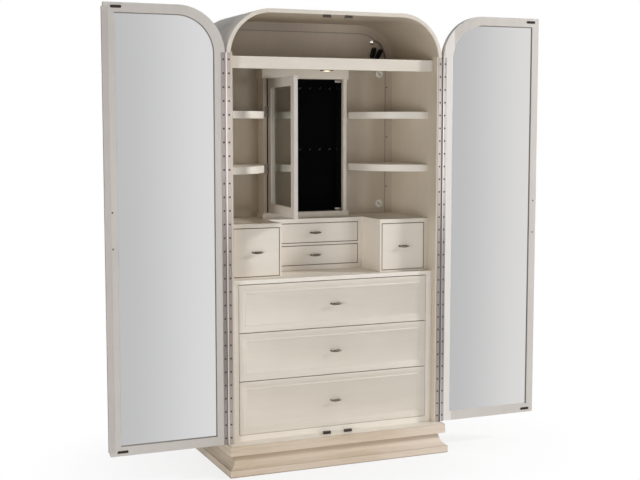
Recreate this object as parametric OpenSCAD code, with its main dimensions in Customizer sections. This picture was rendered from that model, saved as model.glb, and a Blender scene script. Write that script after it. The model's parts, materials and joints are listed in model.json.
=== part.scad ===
// Arched wardrobe with two mirrored doors on piano hinges, drawers, corner shelves and a jewellery cabinet.
// Built with X across the case, Y from the hinge plane to the back and Z up from the floor,
// then moved so that the origin is under the middle of the whole with both doors folded back.

/* [Case] */
// Width over the case sides
case_w = 1092; // [1040:1:1200]
// Overall height
case_h = 2134; // [2110:1:2300]
// Depth of the case behind the hinge leaves
case_d = 503; // [490:1:600]
// Thickness of the bent shell
shell_t = 18; // [15:1:22]
// Outside radius of the arched shoulders
shoulder_r = 216; // [190:1:240]
// Thickness of the side liners
liner_t = 8; // [6:0.5:10]
// How far the liners run up past the piano hinges
liner_over = 3.5; // [2:0.5:10]
// Thickness of the back
back_t = 14.6; // [12:0.1:18]
// Width of the arched frame beside the back panel
back_rim = 47; // [40:1:60]
// Width of that frame over the back panel
top_rim = 41; // [34:1:54]
// Width of the groove between back frame and back panel
groove_w = 3; // [1:0.5:5]
// Depth of that groove
groove_d = 2.5; // [1:0.5:4]
// Thickness of the floor board
floor_t = 18; // [15:1:22]

/* [Plinth] */
// Height of the floor board's top
plinth_h = 139; // [130:1:160]
// How far the fascia stands out past the case sides
fascia_side = 11.5; // [8:0.5:16]
// How far the fascia stands out in front of the case
fascia_front = 49.3; // [44:0.1:60]
// Height of the fascia
fascia_h = 44; // [36:1:50]
// Thickness of the fascia's upright lip
fascia_lip = 12.5; // [10:0.5:16]
// How far the base band stands out past the case sides
base_side = 17; // [14:1:24]
// How far the base band stands out in front of the case
base_front = 65.8; // [60:0.1:76]
// Height of the base band
base_h = 33; // [26:1:38]
// Depth of the cove moulding from the base band's face
cove_d = 36; // [30:1:40]
// Width of the flat step between cove and base band
quirk = 5; // [3:0.5:7]
// Thickness of the boards of the plinth frame
plinth_t = 18; // [15:1:24]

/* [Main doors] */
// Thickness of a door
door_t = 28; // [26:0.5:32]
// Half of the gap between the closed doors
door_gap = 1.5; // [1:0.1:3]
// Gap under the doors
door_foot_gap = 2.5; // [1.5:0.5:5]
// Width of the stile on the hinge side
hinge_stile = 50; // [44:1:60]
// Width of the stile on the free side
free_stile = 44; // [40:1:50]
// Width of the top and bottom rails
rail_w = 42; // [36:1:50]
// Thickness of the mirrors
mirror_t = 4; // [3:0.5:5]
// How deep the mirrors lie under the frame's face
mirror_set = 6; // [4:0.5:8]
// Thickness of the outer panels
panel_t = 9.8; // [8:0.1:10.5]
// How deep mirrors and panels reach into the frame
groove_in = 8; // [6:0.5:10]
// Play of mirrors and panels in the frame
panel_play = 0.2; // [0.1:0.1:0.5]
// Width of the astragal strip that covers the middle gap
astragal_w = 28; // [24:1:32]
// Reach of the astragal past the left door's edge
astragal_out = 9.5; // [7:0.5:12]
// Thickness of the astragal
astragal_t = 12; // [9:0.5:14]
// Gap above and below the astragal
astragal_end = 19; // [10:1:30]
// Play round the astragal in the right door's rebate
astragal_play = 1; // [0.5:0.1:2]

/* [Door pulls] */
// Distance between the two screws of a door pull
pull_screws = 160; // [128:1:192]
// Length of a door pull
pull_l = 200; // [196:1:260]
// Diameter of a door pull's bar
pull_bar_d = 12; // [10:0.5:14]
// Diameter of its posts
pull_post_d = 9; // [8:0.5:10]
// Distance of the bar's axis from the door
pull_reach = 28; // [24:1:36]
// Height of the pull's middle
pull_z = 1148; // [900:1:1300]
// Distance of the pull from the door's free edge
pull_edge = 24.5; // [24:0.5:27]
// Diameter of the screw shanks
pull_screw_d = 4; // [3:0.5:5]
// Diameter of the screw heads
pull_head_d = 8; // [7:0.5:9]
// Height of the screw heads
pull_head_h = 1.2; // [0.8:0.1:1.4]

/* [Piano hinges] */
// Diameter of the knuckles
knuckle_d = 7; // [6:0.5:8]
// Diameter of the pins
pin_d = 4; // [3:0.1:4]
// Radial play of the pins
pin_play = 0.05; // [0.03:0.01:0.1]
// Gap between the case side's line and the knuckles
knuckle_gap = 0.5; // [0.4:0.1:1]
// Width of a hinge leaf
leaf_w = 18; // [15:1:18]
// Thickness of a hinge leaf
leaf_t = 1.5; // [1.2:0.1:2]
// Gap between a leaf and the hinge plane
leaf_gap = 0.1; // [0.05:0.05:0.3]
// Gap between a leaf and the other leaf's knuckles
leaf_clear = 0.3; // [0.2:0.05:0.4]
// Number of knuckles on each leaf
knuckles = 29; // [24:1:32]
// Axial gap between knuckles
knuckle_end = 0.3; // [0.2:0.1:0.5]
// How far the hinges run up past the start of the arched shoulders
hinge_over = 13.5; // [5:0.5:22]
// Diameter of the hinge screws' heads
leaf_screw_d = 6; // [5:0.5:7]
// Height of the hinge screws' heads
leaf_screw_h = 1.3; // [1:0.1:1.3]

/* [Catches] */
// Width of a magnet catch
catch_w = 40; // [34:1:44]
// Depth of a magnet catch
catch_d = 13; // [10:1:16]
// Height of a magnet catch
catch_h = 13; // [10:1:16]
// Distance of the catches from the middle
catch_x = 55; // [50:1:60]
// Width of a strike plate
strike_w = 45; // [40:1:48]
// Height of a strike plate
strike_h = 9; // [7:1:11]
// Thickness of a strike plate
strike_t = 1.2; // [1:0.1:1.5]
// Distance of the strike plates from the doors' upper and lower edges
strike_edge = 14; // [9:1:18]
// Width of the cabinet's catches
small_catch_w = 30; // [10:1:34]
// Depth of the cabinet's catches
small_catch_d = 10; // [8:1:12]
// Height of the cabinet's catches
small_catch_h = 12; // [7:1:14]

/* [Hat shelf] */
// Distance of the hat shelf's top from the case's top
hat_drop = 214; // [210:1:217]
// Thickness of the hat shelf's board
hat_t = 24; // [18:1:28]
// Height of the hat shelf's front rail
hat_rail_h = 55; // [45:1:60]
// Thickness of that rail
hat_rail_t = 18; // [15:1:22]
// Distance of the rail's face from the hinge plane
hat_set = 38; // [34:1:60]
// Diameter of the puck light
puck_d = 64; // [56:1:72]
// Height of the puck light
puck_h = 33; // [8:1:36]
// Distance of the puck light from the hinge plane
puck_y = 140; // [110:1:160]
// Diameter of the puck light's lens
lens_d = 50; // [44:1:52]
// Depth of the lens in the ring
lens_h = 5; // [3:1:6]

/* [Chest of drawers] */
// Distance of the chest's face from the hinge plane
chest_set = 36; // [34:1:60]
// Width of the chest's side stiles
chest_stile = 33.5; // [28:0.5:40]
// Height of the chest's bottom rail
chest_rail = 28; // [22:1:34]
// Thickness of fronts and frame
front_t = 18; // [16:1:20]
// Height of the lower drawer's front
low_h = 250; // [220:1:270]
// Height of the middle drawer's front
mid_h = 225; // [200:1:240]
// Height of the upper drawer's front
top_h = 223; // [200:1:240]
// Gap between two fronts
front_gap = 3; // [2:0.5:4]
// Gap between an inset front and its frame
inset_gap = 1.5; // [1:0.1:2.5]
// Thickness of the chest's top board
chest_top_t = 19; // [16:1:24]
// Thickness of the dust boards
dust_t = 16; // [12:1:18]
// Room behind the chest's drawer boxes
chest_box_room = 15.8; // [5.8:1:55.8]
// Distance between a front's end and its drawer box
box_side_gap = 22; // [18:1:30]
// How far a drawer box stays under the top of its front
box_top_gap = 24; // [18:1:40]
// Thickness of drawer sides
box_t = 12; // [10:1:15]
// Thickness of drawer bottoms
box_floor = 6; // [4:1:9]
// Running gap under and beside a drawer box
run_gap = 0.3; // [0.2:0.1:0.6]
// Width and height of the drawer guides
guide = 12; // [8:1:12]

/* [Drawer fronts] */
// Width of the flat border on a front
border = 26; // [18:1:32]
// Width of the bevel inside the border
bevel = 6; // [3:1:8]
// Depth of the recessed panel
recess = 4; // [2:0.5:6]
// Length of a drawer pull
knob_l = 56; // [50:1:64]
// Diameter of a drawer pull at its middle
knob_d = 12; // [10:0.5:13]
// Diameter of a drawer pull at its ends
knob_end_d = 8; // [7:0.5:9]
// Diameter of a drawer pull's posts
knob_post_d = 6; // [5:0.5:7]
// Distance between those posts
knob_posts = 40; // [34:1:44]
// Distance of a drawer pull's axis from the front that carries it
knob_reach = 17; // [15:0.5:18]
// Chamfer at a drawer pull's ends
knob_ease = 1; // [0.5:0.1:1.5]

/* [Side boxes] */
// Distance of the side boxes' faces from the hinge plane
side_set = 80; // [70:1:110]
// Distance of the side boxes from the middle
side_in = 256; // [250:1:262]
// Height of the side boxes
side_h = 257; // [245:1:270]
// Thickness of a side box's inner side
side_inner_t = 10; // [9:1:14]
// Width of its outer stile
side_outer_t = 23.5; // [18:0.5:28]
// Thickness of its bottom
side_floor = 9; // [8:1:12]
// Thickness of its top
side_roof = 20; // [16:1:24]
// Room behind a side drawer's box
side_box_room = 23.8; // [11.8:1:63.8]
// Distance between a small front's end and its drawer box
small_side_gap = 6; // [4:1:10]
// Thickness of the backs of side boxes and centre box
box_back = 8; // [6:1:10]

/* [Centre box] */
// Distance of the centre box's face from the hinge plane
centre_set = 290; // [280:1:300]
// Height of the centre box
centre_h = 255; // [247:1:265]
// Height of its bottom rail
centre_low_rail = 25.5; // [20:0.5:30]
// Height of its middle rail
centre_mid_rail = 13; // [12:0.5:18]
// Height of its top rail
centre_top_rail = 21.5; // [18:0.5:26]
// Width of its side stiles
centre_stile = 21.5; // [18:0.5:26]
// Room behind a centre drawer's box
centre_box_room = 8.8; // [3.8:1:53.8]

/* [Corner shelves] */
// Thickness of a corner shelf
shelf_t = 34; // [28:1:38]
// Sweep of a shelf's front edge along the case's width
sweep_x = 280; // [250:1:284]
// Sweep of a shelf's front edge along the case's depth
sweep_y = 338; // [300:1:350]
// Depth of the strip behind the sweep
shelf_strip = 59.7; // [50:0.1:80]
// Height of the lowest shelf-pin holes above the side boxes
hole_rise = 111.5; // [90:0.5:118]
// Distance of the highest shelf-pin holes from the hat shelf's underside
hole_drop = 115.4; // [108:0.1:140]
// Number of shelf-pin holes in a row
hole_count = 9; // [8:1:9]
// Which hole carries the lower shelf
low_hole = 2; // [1:1:3]
// Which hole carries the upper shelf
high_hole = 6; // [5:1:7]
// Distance of the front row of holes from the hinge plane
hole_front = 126; // [120:1:140]
// Distance of the rear row of holes from the back
hole_rear = 20; // [16:1:26]
// Diameter of the shelf pins
shelf_pin_d = 5; // [4:0.5:6]
// Reach of a shelf pin past the liner
shelf_pin_out = 9; // [7:1:12]
// Height of the pins above a shelf's underside
pin_rise = 12; // [9:1:16]

/* [Jewellery cabinet] */
// Width of the bays beside the cabinet
bay_w = 295.8; // [294:0.1:304]
// Depth of the cabinet from its face to the back
jewel_d = 82; // [80:1:83]
// Thickness of the cabinet's sides
jewel_t = 18; // [15:1:20]
// How far base and header stand out past the cabinet
jewel_proud = 8; // [5:0.5:8]
// Thickness of the base board
jewel_base = 25; // [20:1:30]
// Height of the header
jewel_header = 60; // [50:1:70]
// Thickness of the cabinet's top
jewel_top_t = 12; // [10:1:15]
// Thickness of the cabinet door
jewel_door_t = 20; // [18:1:22]
// Gap round the cabinet door
jewel_gap = 1.5; // [1:0.1:2]
// Width of the door's stiles and rails
jewel_stile = 46; // [38:1:52]
// Thickness of the door's glass
glass_t = 4; // [3:0.5:5]
// Thickness of the lining
lining_t = 3; // [2:0.5:4]
// Gap between the closed cabinet door and the lining
lining_gap = 4; // [2:0.5:8]
// Distance of the hinge axis in front of the cabinet door
jewel_axis_out = 3; // [2.8:0.1:3.4]
// Diameter of the cabinet hinges' knuckles
jewel_knuckle_d = 4.4; // [4:0.1:4.6]
// Diameter of the cabinet hinges' pins
jewel_pin_d = 2.4; // [2:0.1:2.6]
// Height of a cabinet hinge
jewel_hinge_h = 50; // [40:1:60]
// Width of a cabinet hinge's leaf
jewel_leaf_w = 15; // [12:1:16]
// Thickness of a cabinet hinge's leaf
jewel_leaf_t = 1; // [0.8:0.1:1.2]
// Height of the lower cabinet hinge's middle above the door's lower edge
jewel_hinge_low = 216; // [120:1:260]
// Distance of the upper cabinet hinge's middle from the door's upper edge
jewel_hinge_high = 162; // [120:1:260]
// How far the cabinet door is open in the stored pose
jewel_open = 93.5; // [90:0.5:95]
// Distance of a row's end hooks from the cabinet's sides
hook_side = 44; // [38:1:60]
// Number of hooks in a row on the back
hook_count = 7; // [5:1:7]
// Distance of the hooks from the cabinet's top, for the upper row
hook_high = 45; // [35:1:60]
// Distance between the two rows of hooks
hook_rows = 307; // [250:1:350]
// Diameter of a hook's stem
hook_d = 3; // [2.5:0.5:4]
// Length of a hook's stem
hook_l = 16; // [12:1:20]
// Height of a hook's upturned end
hook_tip = 6; // [4:0.5:8]
// Diameter of the ball on that end
hook_ball_d = 4.6; // [4:0.1:6]
// Diameter of a hook's plate
hook_plate_d = 9; // [7:0.5:11]
// Thickness of a hook's plate
hook_plate_t = 1.5; // [1:0.1:2]
// Distance of the hook on the side from the lining's front edge
side_hook_in = 22; // [18:1:28]

/* [Small fittings] */
// Diameter of a cable grommet's flange
grommet_d = 40; // [34:1:44]
// Diameter of the hole for a grommet
grommet_hole = 32; // [26:1:33]
// Thickness of the grommet's flange
grommet_t = 2.5; // [2:0.5:4]
// Thickness of a grommet's sleeve
grommet_wall = 3; // [2:0.5:4]
// Slot through the grommet's cap
grommet_slot = 12; // [8:1:16]
// Distance of the slot's lower end from the hole's edge
grommet_slot_in = 4; // [3.5:0.5:6]
// Distance of the grommets from the side liner
grommet_in = 74; // [72:1:86]
// Distance of the upper grommet from the hat shelf's underside
grommet_drop = 26; // [24:1:36]
// Height of the lower grommet above the side boxes
grommet_rise = 48.5; // [34:0.5:60]
// Diameter of the back screws' heads
back_screw_d = 7; // [5:0.5:8]
// Height of the back screws' heads
back_screw_h = 1; // [0.8:0.1:1.5]
// Distance between the back screws
back_screw_pitch = 256; // [240:1:280]
// Height of the lowest back screws above the side boxes
back_screw_rise = 138; // [120:1:160]

/* [Light's lead] */
// Diameter of the lead
lead_d = 3; // [3:0.1:3.2]
// Loops in the hank
hank_loops = 4; // [3:1:4]
// Distance between two loops of the hank
hank_step = 3.6; // [3.6:0.1:4]
// Width of the lead's clip
clip_w = 16; // [14:1:20]
// Height of the lead's clip
clip_h = 18; // [14:1:24]
// Depth of the lead's clip
clip_d = 13; // [12:0.5:16]
// Diameter of the plug's grip
plug_d = 5.6; // [5:0.1:6]
// Length of the plug's grip
plug_l = 22; // [18:1:24]
// Diameter of the plug's tip
plug_tip_d = 3.5; // [2.5:0.1:4]
// Length of the plug's tip
plug_tip_l = 9; // [7:1:12]

/* [Hidden] */
$fn = 64;
eps = 0.01;
seat = 0.2;

cream = [0.87, 0.83, 0.78];
taupe = [0.60, 0.55, 0.48];
tan_wood = [0.84, 0.78, 0.70];
steel = [0.66, 0.65, 0.64];
pewter = [0.33, 0.31, 0.28];
black = [0.05, 0.05, 0.05];
mirror_grey = [0.80, 0.80, 0.82];
clear_glass = [0.80, 0.86, 0.88, 0.4];

hinge_h = case_h - shoulder_r + hinge_over - plinth_h - door_foot_gap;

half_w = case_w / 2;
front_y = leaf_t + leaf_gap;
back_y = front_y + case_d;
inner_half = half_w - shell_t;
wall_x = inner_half - liner_t;
inner_top = case_h - shell_t;
inner_r = shoulder_r - shell_t;
wall_back = back_y - back_t;
room_half = wall_x - seat;
room_back = wall_back - seat;
chest_box_d = room_back - chest_set - front_t - chest_box_room;
side_box_d = room_back - box_back - side_set - front_t - side_box_room;
centre_box_d = room_back - box_back - centre_set - front_t - centre_box_room;

hinge_x = half_w + knuckle_gap + knuckle_d / 2;
door_z = plinth_h + door_foot_gap;
liner_top = door_z + hinge_h + liner_over;
door_edge = half_w;
door_face = -front_y;
door_out = door_face - door_t;

fascia_x = half_w + fascia_side;
fascia_y = front_y - fascia_front;
base_x = half_w + base_side;
base_y = front_y - base_front;
throat_x = base_x - cove_d;
throat_y = base_y + cove_d;
cove_step = 3;
fascia_z = plinth_h - fascia_h;
cove_h = fascia_z - base_h - cove_step;
cove_r = ((cove_d - quirk) ^ 2 + cove_h ^ 2) / (2 * (cove_d - quirk));
floor_x = fascia_x - fascia_lip;
floor_y = fascia_y + fascia_lip;

astragal_left = astragal_w - astragal_out + door_gap;
rest_left = 2 * hinge_x - door_gap + astragal_out;
rest_right = 2 * hinge_x - door_gap;
shift_x = (rest_left - rest_right) / 2;
shift_y = -(base_y + back_y) / 2;

hat_z = case_h - hat_drop;
hat_under = hat_z - hat_t;

chest_x = room_half - chest_stile;
front_x = chest_x - inset_gap;
low_z = plinth_h + chest_rail + inset_gap;
mid_z = low_z + low_h + front_gap;
top_z = mid_z + mid_h + front_gap;
chest_top_z = top_z + top_h + front_gap;
chest_z = chest_top_z + chest_top_t;
chest_box_y = chest_set + front_t;

side_top = chest_z + side_h;
side_front_l = room_half - side_outer_t - side_in - side_inner_t - 2 * inset_gap;
side_front_x = (room_half - side_outer_t + side_in + side_inner_t) / 2;
side_front_z = chest_z + side_floor + inset_gap;
side_front_h = side_h - side_floor - side_roof - 2 * inset_gap;

centre_half = side_in - seat;
centre_top = chest_z + centre_h;
centre_front_l = 2 * (centre_half - centre_stile - inset_gap);
centre_front_h = (centre_h - centre_low_rail - centre_mid_rail - centre_top_rail) / 2 - 2 * inset_gap;
centre_low_z = chest_z + centre_low_rail + inset_gap;
centre_high_z = centre_low_z + centre_front_h + centre_mid_rail + 2 * inset_gap;

jewel_x = room_half - bay_w;
jewel_in = jewel_x - jewel_t;
jewel_y = wall_back - jewel_d;
jewel_floor = centre_top + jewel_base;
jewel_roof = hat_under - jewel_header;
jewel_axis_x = -jewel_in + jewel_gap / 2;
jewel_axis_y = jewel_y - jewel_axis_out;
jewel_door_x = jewel_in - jewel_gap;
jewel_door_z = jewel_floor + jewel_gap;
jewel_door_top = jewel_roof - jewel_gap;
lining_y = jewel_y + jewel_door_t + lining_gap;
hook_pitch = 2 * (jewel_in - hook_side) / (hook_count - 1);
jewel_hinge_zs = [jewel_door_z + jewel_hinge_low, jewel_door_top - jewel_hinge_high];

knuckle_pitch = hinge_h / (2 * knuckles);
leaf_edge = knuckle_d / 2 + leaf_clear;
pin_wall = 0.15;
screw_x = half_w - leaf_w / 2;

hole_z = side_top + hole_rise;
hole_pitch = (hat_under - hole_drop - hole_z) / (hole_count - 1);
pin_skin = 1;
pin_start = 1;
pin_roof = 0.05;
low_shelf = hole_z + low_hole * hole_pitch - pin_rise;
high_shelf = hole_z + high_hole * hole_pitch - pin_rise;

grommet_x = wall_x - grommet_in;
grommet_high = hat_under - grommet_drop;
grommet_low = side_top + grommet_rise;

// Route of the lead from its clip to the hank, as distances from the right liner, the back and the hat shelf
lead_steps = [[116, 8, 114], [112, 8, 114], [102, 8, 115], [90, 8, 113], [78, 8, 106], [67, 8, 94], [59, 8, 80],
    [53, 8, 64], [49, 8, 48], [47, 7, 32], [49, 6, 18], [56, 6, 8], [68, 6, 3], [80, 6, 2], [94, 6, 1.8],
    [109, 6, 1.8], [113, 6, 1.8]];
lead_route = [for (p = lead_steps) [wall_x - p[0], wall_back - p[1], hat_z + p[2]]];
// Middle, bend and lobes of the hank
hank_c = [wall_x - 116, wall_back - 6, hat_z + 16.8];
hank_bend = 10.5;
hank_waist = 4.5;
hank_fold = 9;
hank_lean = 0.05;
hank_lobes = [[17, 57], [32, 66]];
plug_x = hank_c[0] - 15;
plug_z = hat_z + 2.9;
plug_bend = 4;

function smooth(t) = t < 0 ? 0 : t > 1 ? 1 : t * t * (3 - 2 * t);
function hank_half(s) = hank_waist + (hank_fold - hank_waist) * smooth(s / 30);

// Point of a lobe at distance s from the bend, offset o to the left of its upward direction
function lobe(side, s, o) = let (a = hank_lobes[side][0], h = side == 0 ? -hank_bend : hank_bend)
    [hank_c[0] + cos(a) * (h - o) + sin(a) * s, hank_c[2] - sin(a) * (h - o) + cos(a) * s];
function bend_point(r, a) = [hank_c[0] + r * cos(a), hank_c[2] + r * sin(a)];
function fold_point(side, a) = let (t = hank_lobes[side][0], m = lobe(side, hank_lobes[side][1], 0))
    [m[0] + hank_fold * cos(a - t), m[1] + hank_fold * sin(a - t)];

outer_r = hank_bend + hank_waist;
inner_bend_r = hank_bend - hank_waist;
left_tilt = hank_lobes[0][0];
right_tilt = hank_lobes[1][0];
// One loop in the plane of the hank, from its lowest point up the left lobe, over and down the right one,
// with the share of the step to the next loop that is done at each point
loop_points = concat(
    [for (i = [0:3]) [bend_point(outer_r, 270 - i * (90 + left_tilt) / 3), 0]],
    [[lobe(0, hank_lobes[0][1] / 2, hank_half(hank_lobes[0][1] / 2)), 0]],
    [for (i = [0:4]) [fold_point(0, 180 - i * 45), 0]],
    [[lobe(0, hank_lobes[0][1] / 2, -hank_half(hank_lobes[0][1] / 2)), 0]],
    [for (i = [0:3]) [bend_point(inner_bend_r, 180 - left_tilt + i * (180 - right_tilt + left_tilt) / 3), 0]],
    [[lobe(1, hank_lobes[1][1] / 2, hank_half(hank_lobes[1][1] / 2)), 0]],
    [for (i = [0:4]) [fold_point(1, 180 - i * 45), 0]],
    [[lobe(1, hank_lobes[1][1] / 2, -hank_half(hank_lobes[1][1] / 2)), 0.5]],
    [for (i = [0:1]) [bend_point(outer_r, -right_tilt - i * (90 - right_tilt) / 2), 1]]);
function lay(q, y) = [q[0], y + (q[1] - lead_route[len(lead_route) - 1][2]) * hank_lean, q[1]];
hank_end_y = hank_c[1] - hank_loops * hank_step;
hank_route = concat(
    [lead_route[len(lead_route) - 1]],
    [for (k = [0:hank_loops - 1]) for (q = loop_points) lay(q[0], hank_c[1] - (k + q[1]) * hank_step)],
    [[hank_c[0], hank_end_y, lead_route[len(lead_route) - 1][2]], [plug_x + plug_bend, hank_end_y, plug_z],
    [plug_x, hank_end_y, plug_z]]);
hank_gap = min([for (i = [0:len(hank_route) - 1]) for (j = [i + 6:1:len(hank_route) - 1])
    norm(hank_route[i] - hank_route[j])]) - lead_d;
echo(hank_gap = hank_gap);

function unit(v) = v / norm(v);
function heading(p, i) = i == 0 ? unit(p[1] - p[0])
    : i == len(p) - 1 ? unit(p[i] - p[i - 1]) : unit(unit(p[i] - p[i - 1]) + unit(p[i + 1] - p[i]));
function ring(p, t, r, n) = let (u = unit(cross([0, 1, 0], t)), v = cross(t, u))
    [for (k = [0:n - 1]) p + r * (cos(360 * k / n) * u + sin(360 * k / n) * v)];

// Round tube along a list of points
module tube(p, r, n) {
    m = len(p);
    points = [for (i = [0:m - 1]) each ring(p[i], heading(p, i), r, n)];
    sides = [for (i = [0:m - 2]) for (k = [0:n - 1]) let (a = i * n + k, b = i * n + (k + 1) % n)
        each [[a, b, a + n], [b, b + n, a + n]]];
    caps = concat([for (k = [1:n - 2]) [0, k + 1, k]],
        [for (k = [1:n - 2]) [(m - 1) * n, (m - 1) * n + k, (m - 1) * n + k + 1]]);
    polyhedron(points, concat(sides, caps));
}

// Moves a piece from the case's own frame to the part's frame
module placed() translate([shift_x, shift_y, 0]) children();

// Turns a piece of the right door from closed to folded back; the left door mirrors it
module right_folded() translate([2 * hinge_x, 0, 0]) rotate([0, 0, 180]) children();
module left_folded() mirror([1, 0, 0]) right_folded() children();

// Extrudes an outline of width and height from y0 back to y1
module slab(y0, y1) translate([0, y1, 0]) rotate([90, 0, 0]) linear_extrude(y1 - y0) children();

module block(a, b) translate(a) cube(b - a);

module both_sides() {
    children();
    mirror([1, 0, 0]) children();
}

// Outline with two round shoulders
module arch(half, z0, z1, r) {
    translate([-half, z0]) square([2 * half, z1 - r - z0]);
    translate([r - half, z0]) square([2 * (half - r), z1 - z0]);
    for (s = [-1, 1]) translate([s * (half - r), z1 - r]) circle(r, $fn = 180);
}

// Outline of a door with one round shoulder, at its right
module door_outline(x0, x1, z0, z1, r) {
    translate([x0, z0]) square([x1 - x0, z1 - r - z0]);
    translate([x0, z0]) square([x1 - r - x0, z1 - z0]);
    translate([x1 - r, z1 - r]) circle(r, $fn = 180);
}

// Case

module case_shell() color(cream) placed() slab(front_y, back_y) difference() {
    arch(half_w, plinth_h, case_h, shoulder_r);
    arch(inner_half, plinth_h - 1, inner_top, inner_r);
}

module pin_holes(d, x0, x1) for (i = [0:hole_count - 1]) for (y = [hole_front, wall_back - hole_rear])
    translate([x0, y, hole_z + i * hole_pitch]) rotate([0, 90, 0]) cylinder(d = d, h = x1 - x0, $fn = 32);

module side_liners() color(cream) placed() both_sides() difference() {
    slab(front_y, wall_back) intersection() {
        arch(inner_half, plinth_h, inner_top, inner_r);
        translate([wall_x, plinth_h]) square([liner_t, liner_top - plinth_h]);
    }
    pin_holes(shelf_pin_d + seat, wall_x - 1, inner_half - pin_skin);
}

module panel_outline(inset) {
    x = inner_half - back_rim - inset;
    arch(x, plinth_h, inner_top - top_rim - inset, inner_r - top_rim - inset);
}

module back_frame() color(taupe) placed() slab(wall_back, back_y) difference() {
    arch(inner_half, plinth_h, inner_top, inner_r);
    translate([0, -1]) panel_outline(0);
    panel_outline(0);
}

module grommet_places() for (z = [grommet_low, grommet_high]) translate([grommet_x, wall_back, z])
    rotate([-90, 0, 0]) children();

module back_panel() color(taupe) placed() difference() {
    union() {
        slab(wall_back + groove_d, back_y) panel_outline(seat / 2);
        slab(wall_back, wall_back + groove_d + eps) panel_outline(groove_w);
    }
    grommet_places() translate([0, 0, -1]) cylinder(d = grommet_hole + 2 * seat, h = back_t + 2);
}

module case_floor() color(cream) placed()
    block([-floor_x, floor_y, plinth_h - floor_t], [floor_x, back_y, plinth_h]);

// Plinth

// Profile of cove and base band as distance past the throat and height, filled inwards by a given width
module moulding_profile(fill) {
    translate([-fill, 0]) square([fill + cove_d, base_h]);
    difference() {
        translate([-fill, base_h - eps]) square([fill + cove_d - quirk, fascia_z - base_h + eps]);
        translate([cove_r, fascia_z]) circle(cove_r, $fn = 180);
    }
}

module plinth_frame() color(tan_wood) placed() linear_extrude(plinth_h - floor_t) difference() {
    translate([-throat_x, throat_y]) square([2 * throat_x, back_y - throat_y]);
    both_sides() translate([plinth_t / 2, throat_y + plinth_t])
        square([throat_x - 1.5 * plinth_t, back_y - throat_y - 2 * plinth_t]);
}

module plinth_fascia() color(tan_wood) placed() difference() {
    block([-fascia_x, fascia_y, fascia_z], [fascia_x, back_y, plinth_h]);
    block([-throat_x, throat_y, fascia_z - 1], [throat_x, back_y + 1, plinth_h + 1]);
    block([-floor_x, floor_y, plinth_h - floor_t], [floor_x, back_y + 1, plinth_h + 1]);
}

module plinth_moulding() color(tan_wood) placed() difference() {
    intersection() {
        translate([-base_x - 1, throat_y, 0]) rotate([90, 0, 90]) linear_extrude(2 * base_x + 2)
            mirror([1, 0]) moulding_profile(back_y - throat_y);
        translate([0, back_y, 0]) rotate([90, 0, 0]) linear_extrude(back_y - base_y + 1) both_sides()
            translate([throat_x, 0]) moulding_profile(throat_x + 1);
    }
    block([-throat_x, throat_y, -1], [throat_x, back_y + 1, plinth_h]);
}

// Hat shelf and light

module hat_shelf() color(cream) placed() {
    block([-room_half, hat_set, hat_z - hat_rail_h], [room_half, hat_set + hat_rail_t, hat_z]);
    block([-room_half, hat_set + hat_rail_t, hat_under], [room_half, room_back, hat_z]);
}

module puck_light() color(steel) placed() translate([0, puck_y, hat_under - puck_h]) difference() {
    cylinder(d = puck_d, h = puck_h);
    translate([0, 0, -1]) cylinder(d = lens_d + 2 * seat, h = lens_h + 1);
}

module puck_lens() color([1, 0.95, 0.85]) placed()
    translate([0, puck_y, hat_under - puck_h]) cylinder(d = lens_d, h = lens_h);

module grommets() color(cream) placed() grommet_places() difference() {
    union() {
        translate([0, 0, -grommet_t]) cylinder(d = grommet_d, h = grommet_t);
        cylinder(d = grommet_hole, h = back_t);
    }
    translate([0, 0, grommet_t]) cylinder(d = grommet_hole - 2 * grommet_wall, h = back_t);
    translate([-grommet_slot / 2, grommet_slot_in - grommet_hole / 2, -grommet_t - 1])
        cube([grommet_slot, grommet_hole / 2, 2 * grommet_t + 2]);
}

module case_screws() color(steel) placed() {
    x = inner_half - back_rim + back_screw_d;
    z = side_top + back_screw_rise;
    both_sides() for (i = [0:floor((hat_under - back_screw_d - z) / back_screw_pitch)])
        translate([x, wall_back, z + i * back_screw_pitch]) rotate([90, 0, 0])
            cylinder(d = back_screw_d, h = back_screw_h, $fn = 24);
    both_sides() leaf_screws(screw_x, front_y - leaf_screw_h);
}

// Chest of drawers

module chest_frame() color(cream) placed() difference() {
    block([-room_half, chest_set, plinth_h], [room_half, chest_box_y, chest_top_z]);
    block([-chest_x, chest_set - 1, plinth_h + chest_rail], [chest_x, chest_box_y + 1, chest_top_z + 1]);
}

module chest_top() color(cream) placed()
    block([-room_half, chest_set, chest_top_z], [room_half, room_back, chest_z]);

chest_box_x = front_x - box_side_gap;
module dust_board(z) {
    y = chest_box_y + seat;
    block([-room_half, y, z - dust_t / 2], [room_half, room_back, z + dust_t / 2]);
    both_sides() block([chest_box_x + run_gap, y, z + dust_t / 2 - eps],
        [chest_box_x + run_gap + guide, room_back, z + dust_t / 2 + guide]);
}
module dust_boards() color(taupe) placed() for (z = [low_z, mid_z, top_z]) dust_board(z - front_gap / 2);

// Front, plain or with a bevelled, recessed panel; its lower edge is centred on the origin
module drawer_front(l, h, panelled) difference() {
    translate([-l / 2, 0, 0]) cube([l, front_t, h]);
    if (panelled) intersection() {
        linear_extrude(h) polygon([[-l / 2 + border, -eps], [l / 2 - border, -eps],
            [l / 2 - border - bevel, recess], [-l / 2 + border + bevel, recess]]);
        translate([-l / 2, 0, 0]) rotate([90, 0, 90]) linear_extrude(l) polygon([[-eps, border],
            [recess, border + bevel], [recess, h - border - bevel], [-eps, h - border]]);
    }
}

module drawer_box(l, h, d) difference() {
    translate([-l / 2, 0, 0]) cube([l, d, h]);
    translate([-l / 2 + box_t, box_t, box_floor]) cube([l - 2 * box_t, d - 2 * box_t, h]);
}

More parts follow.
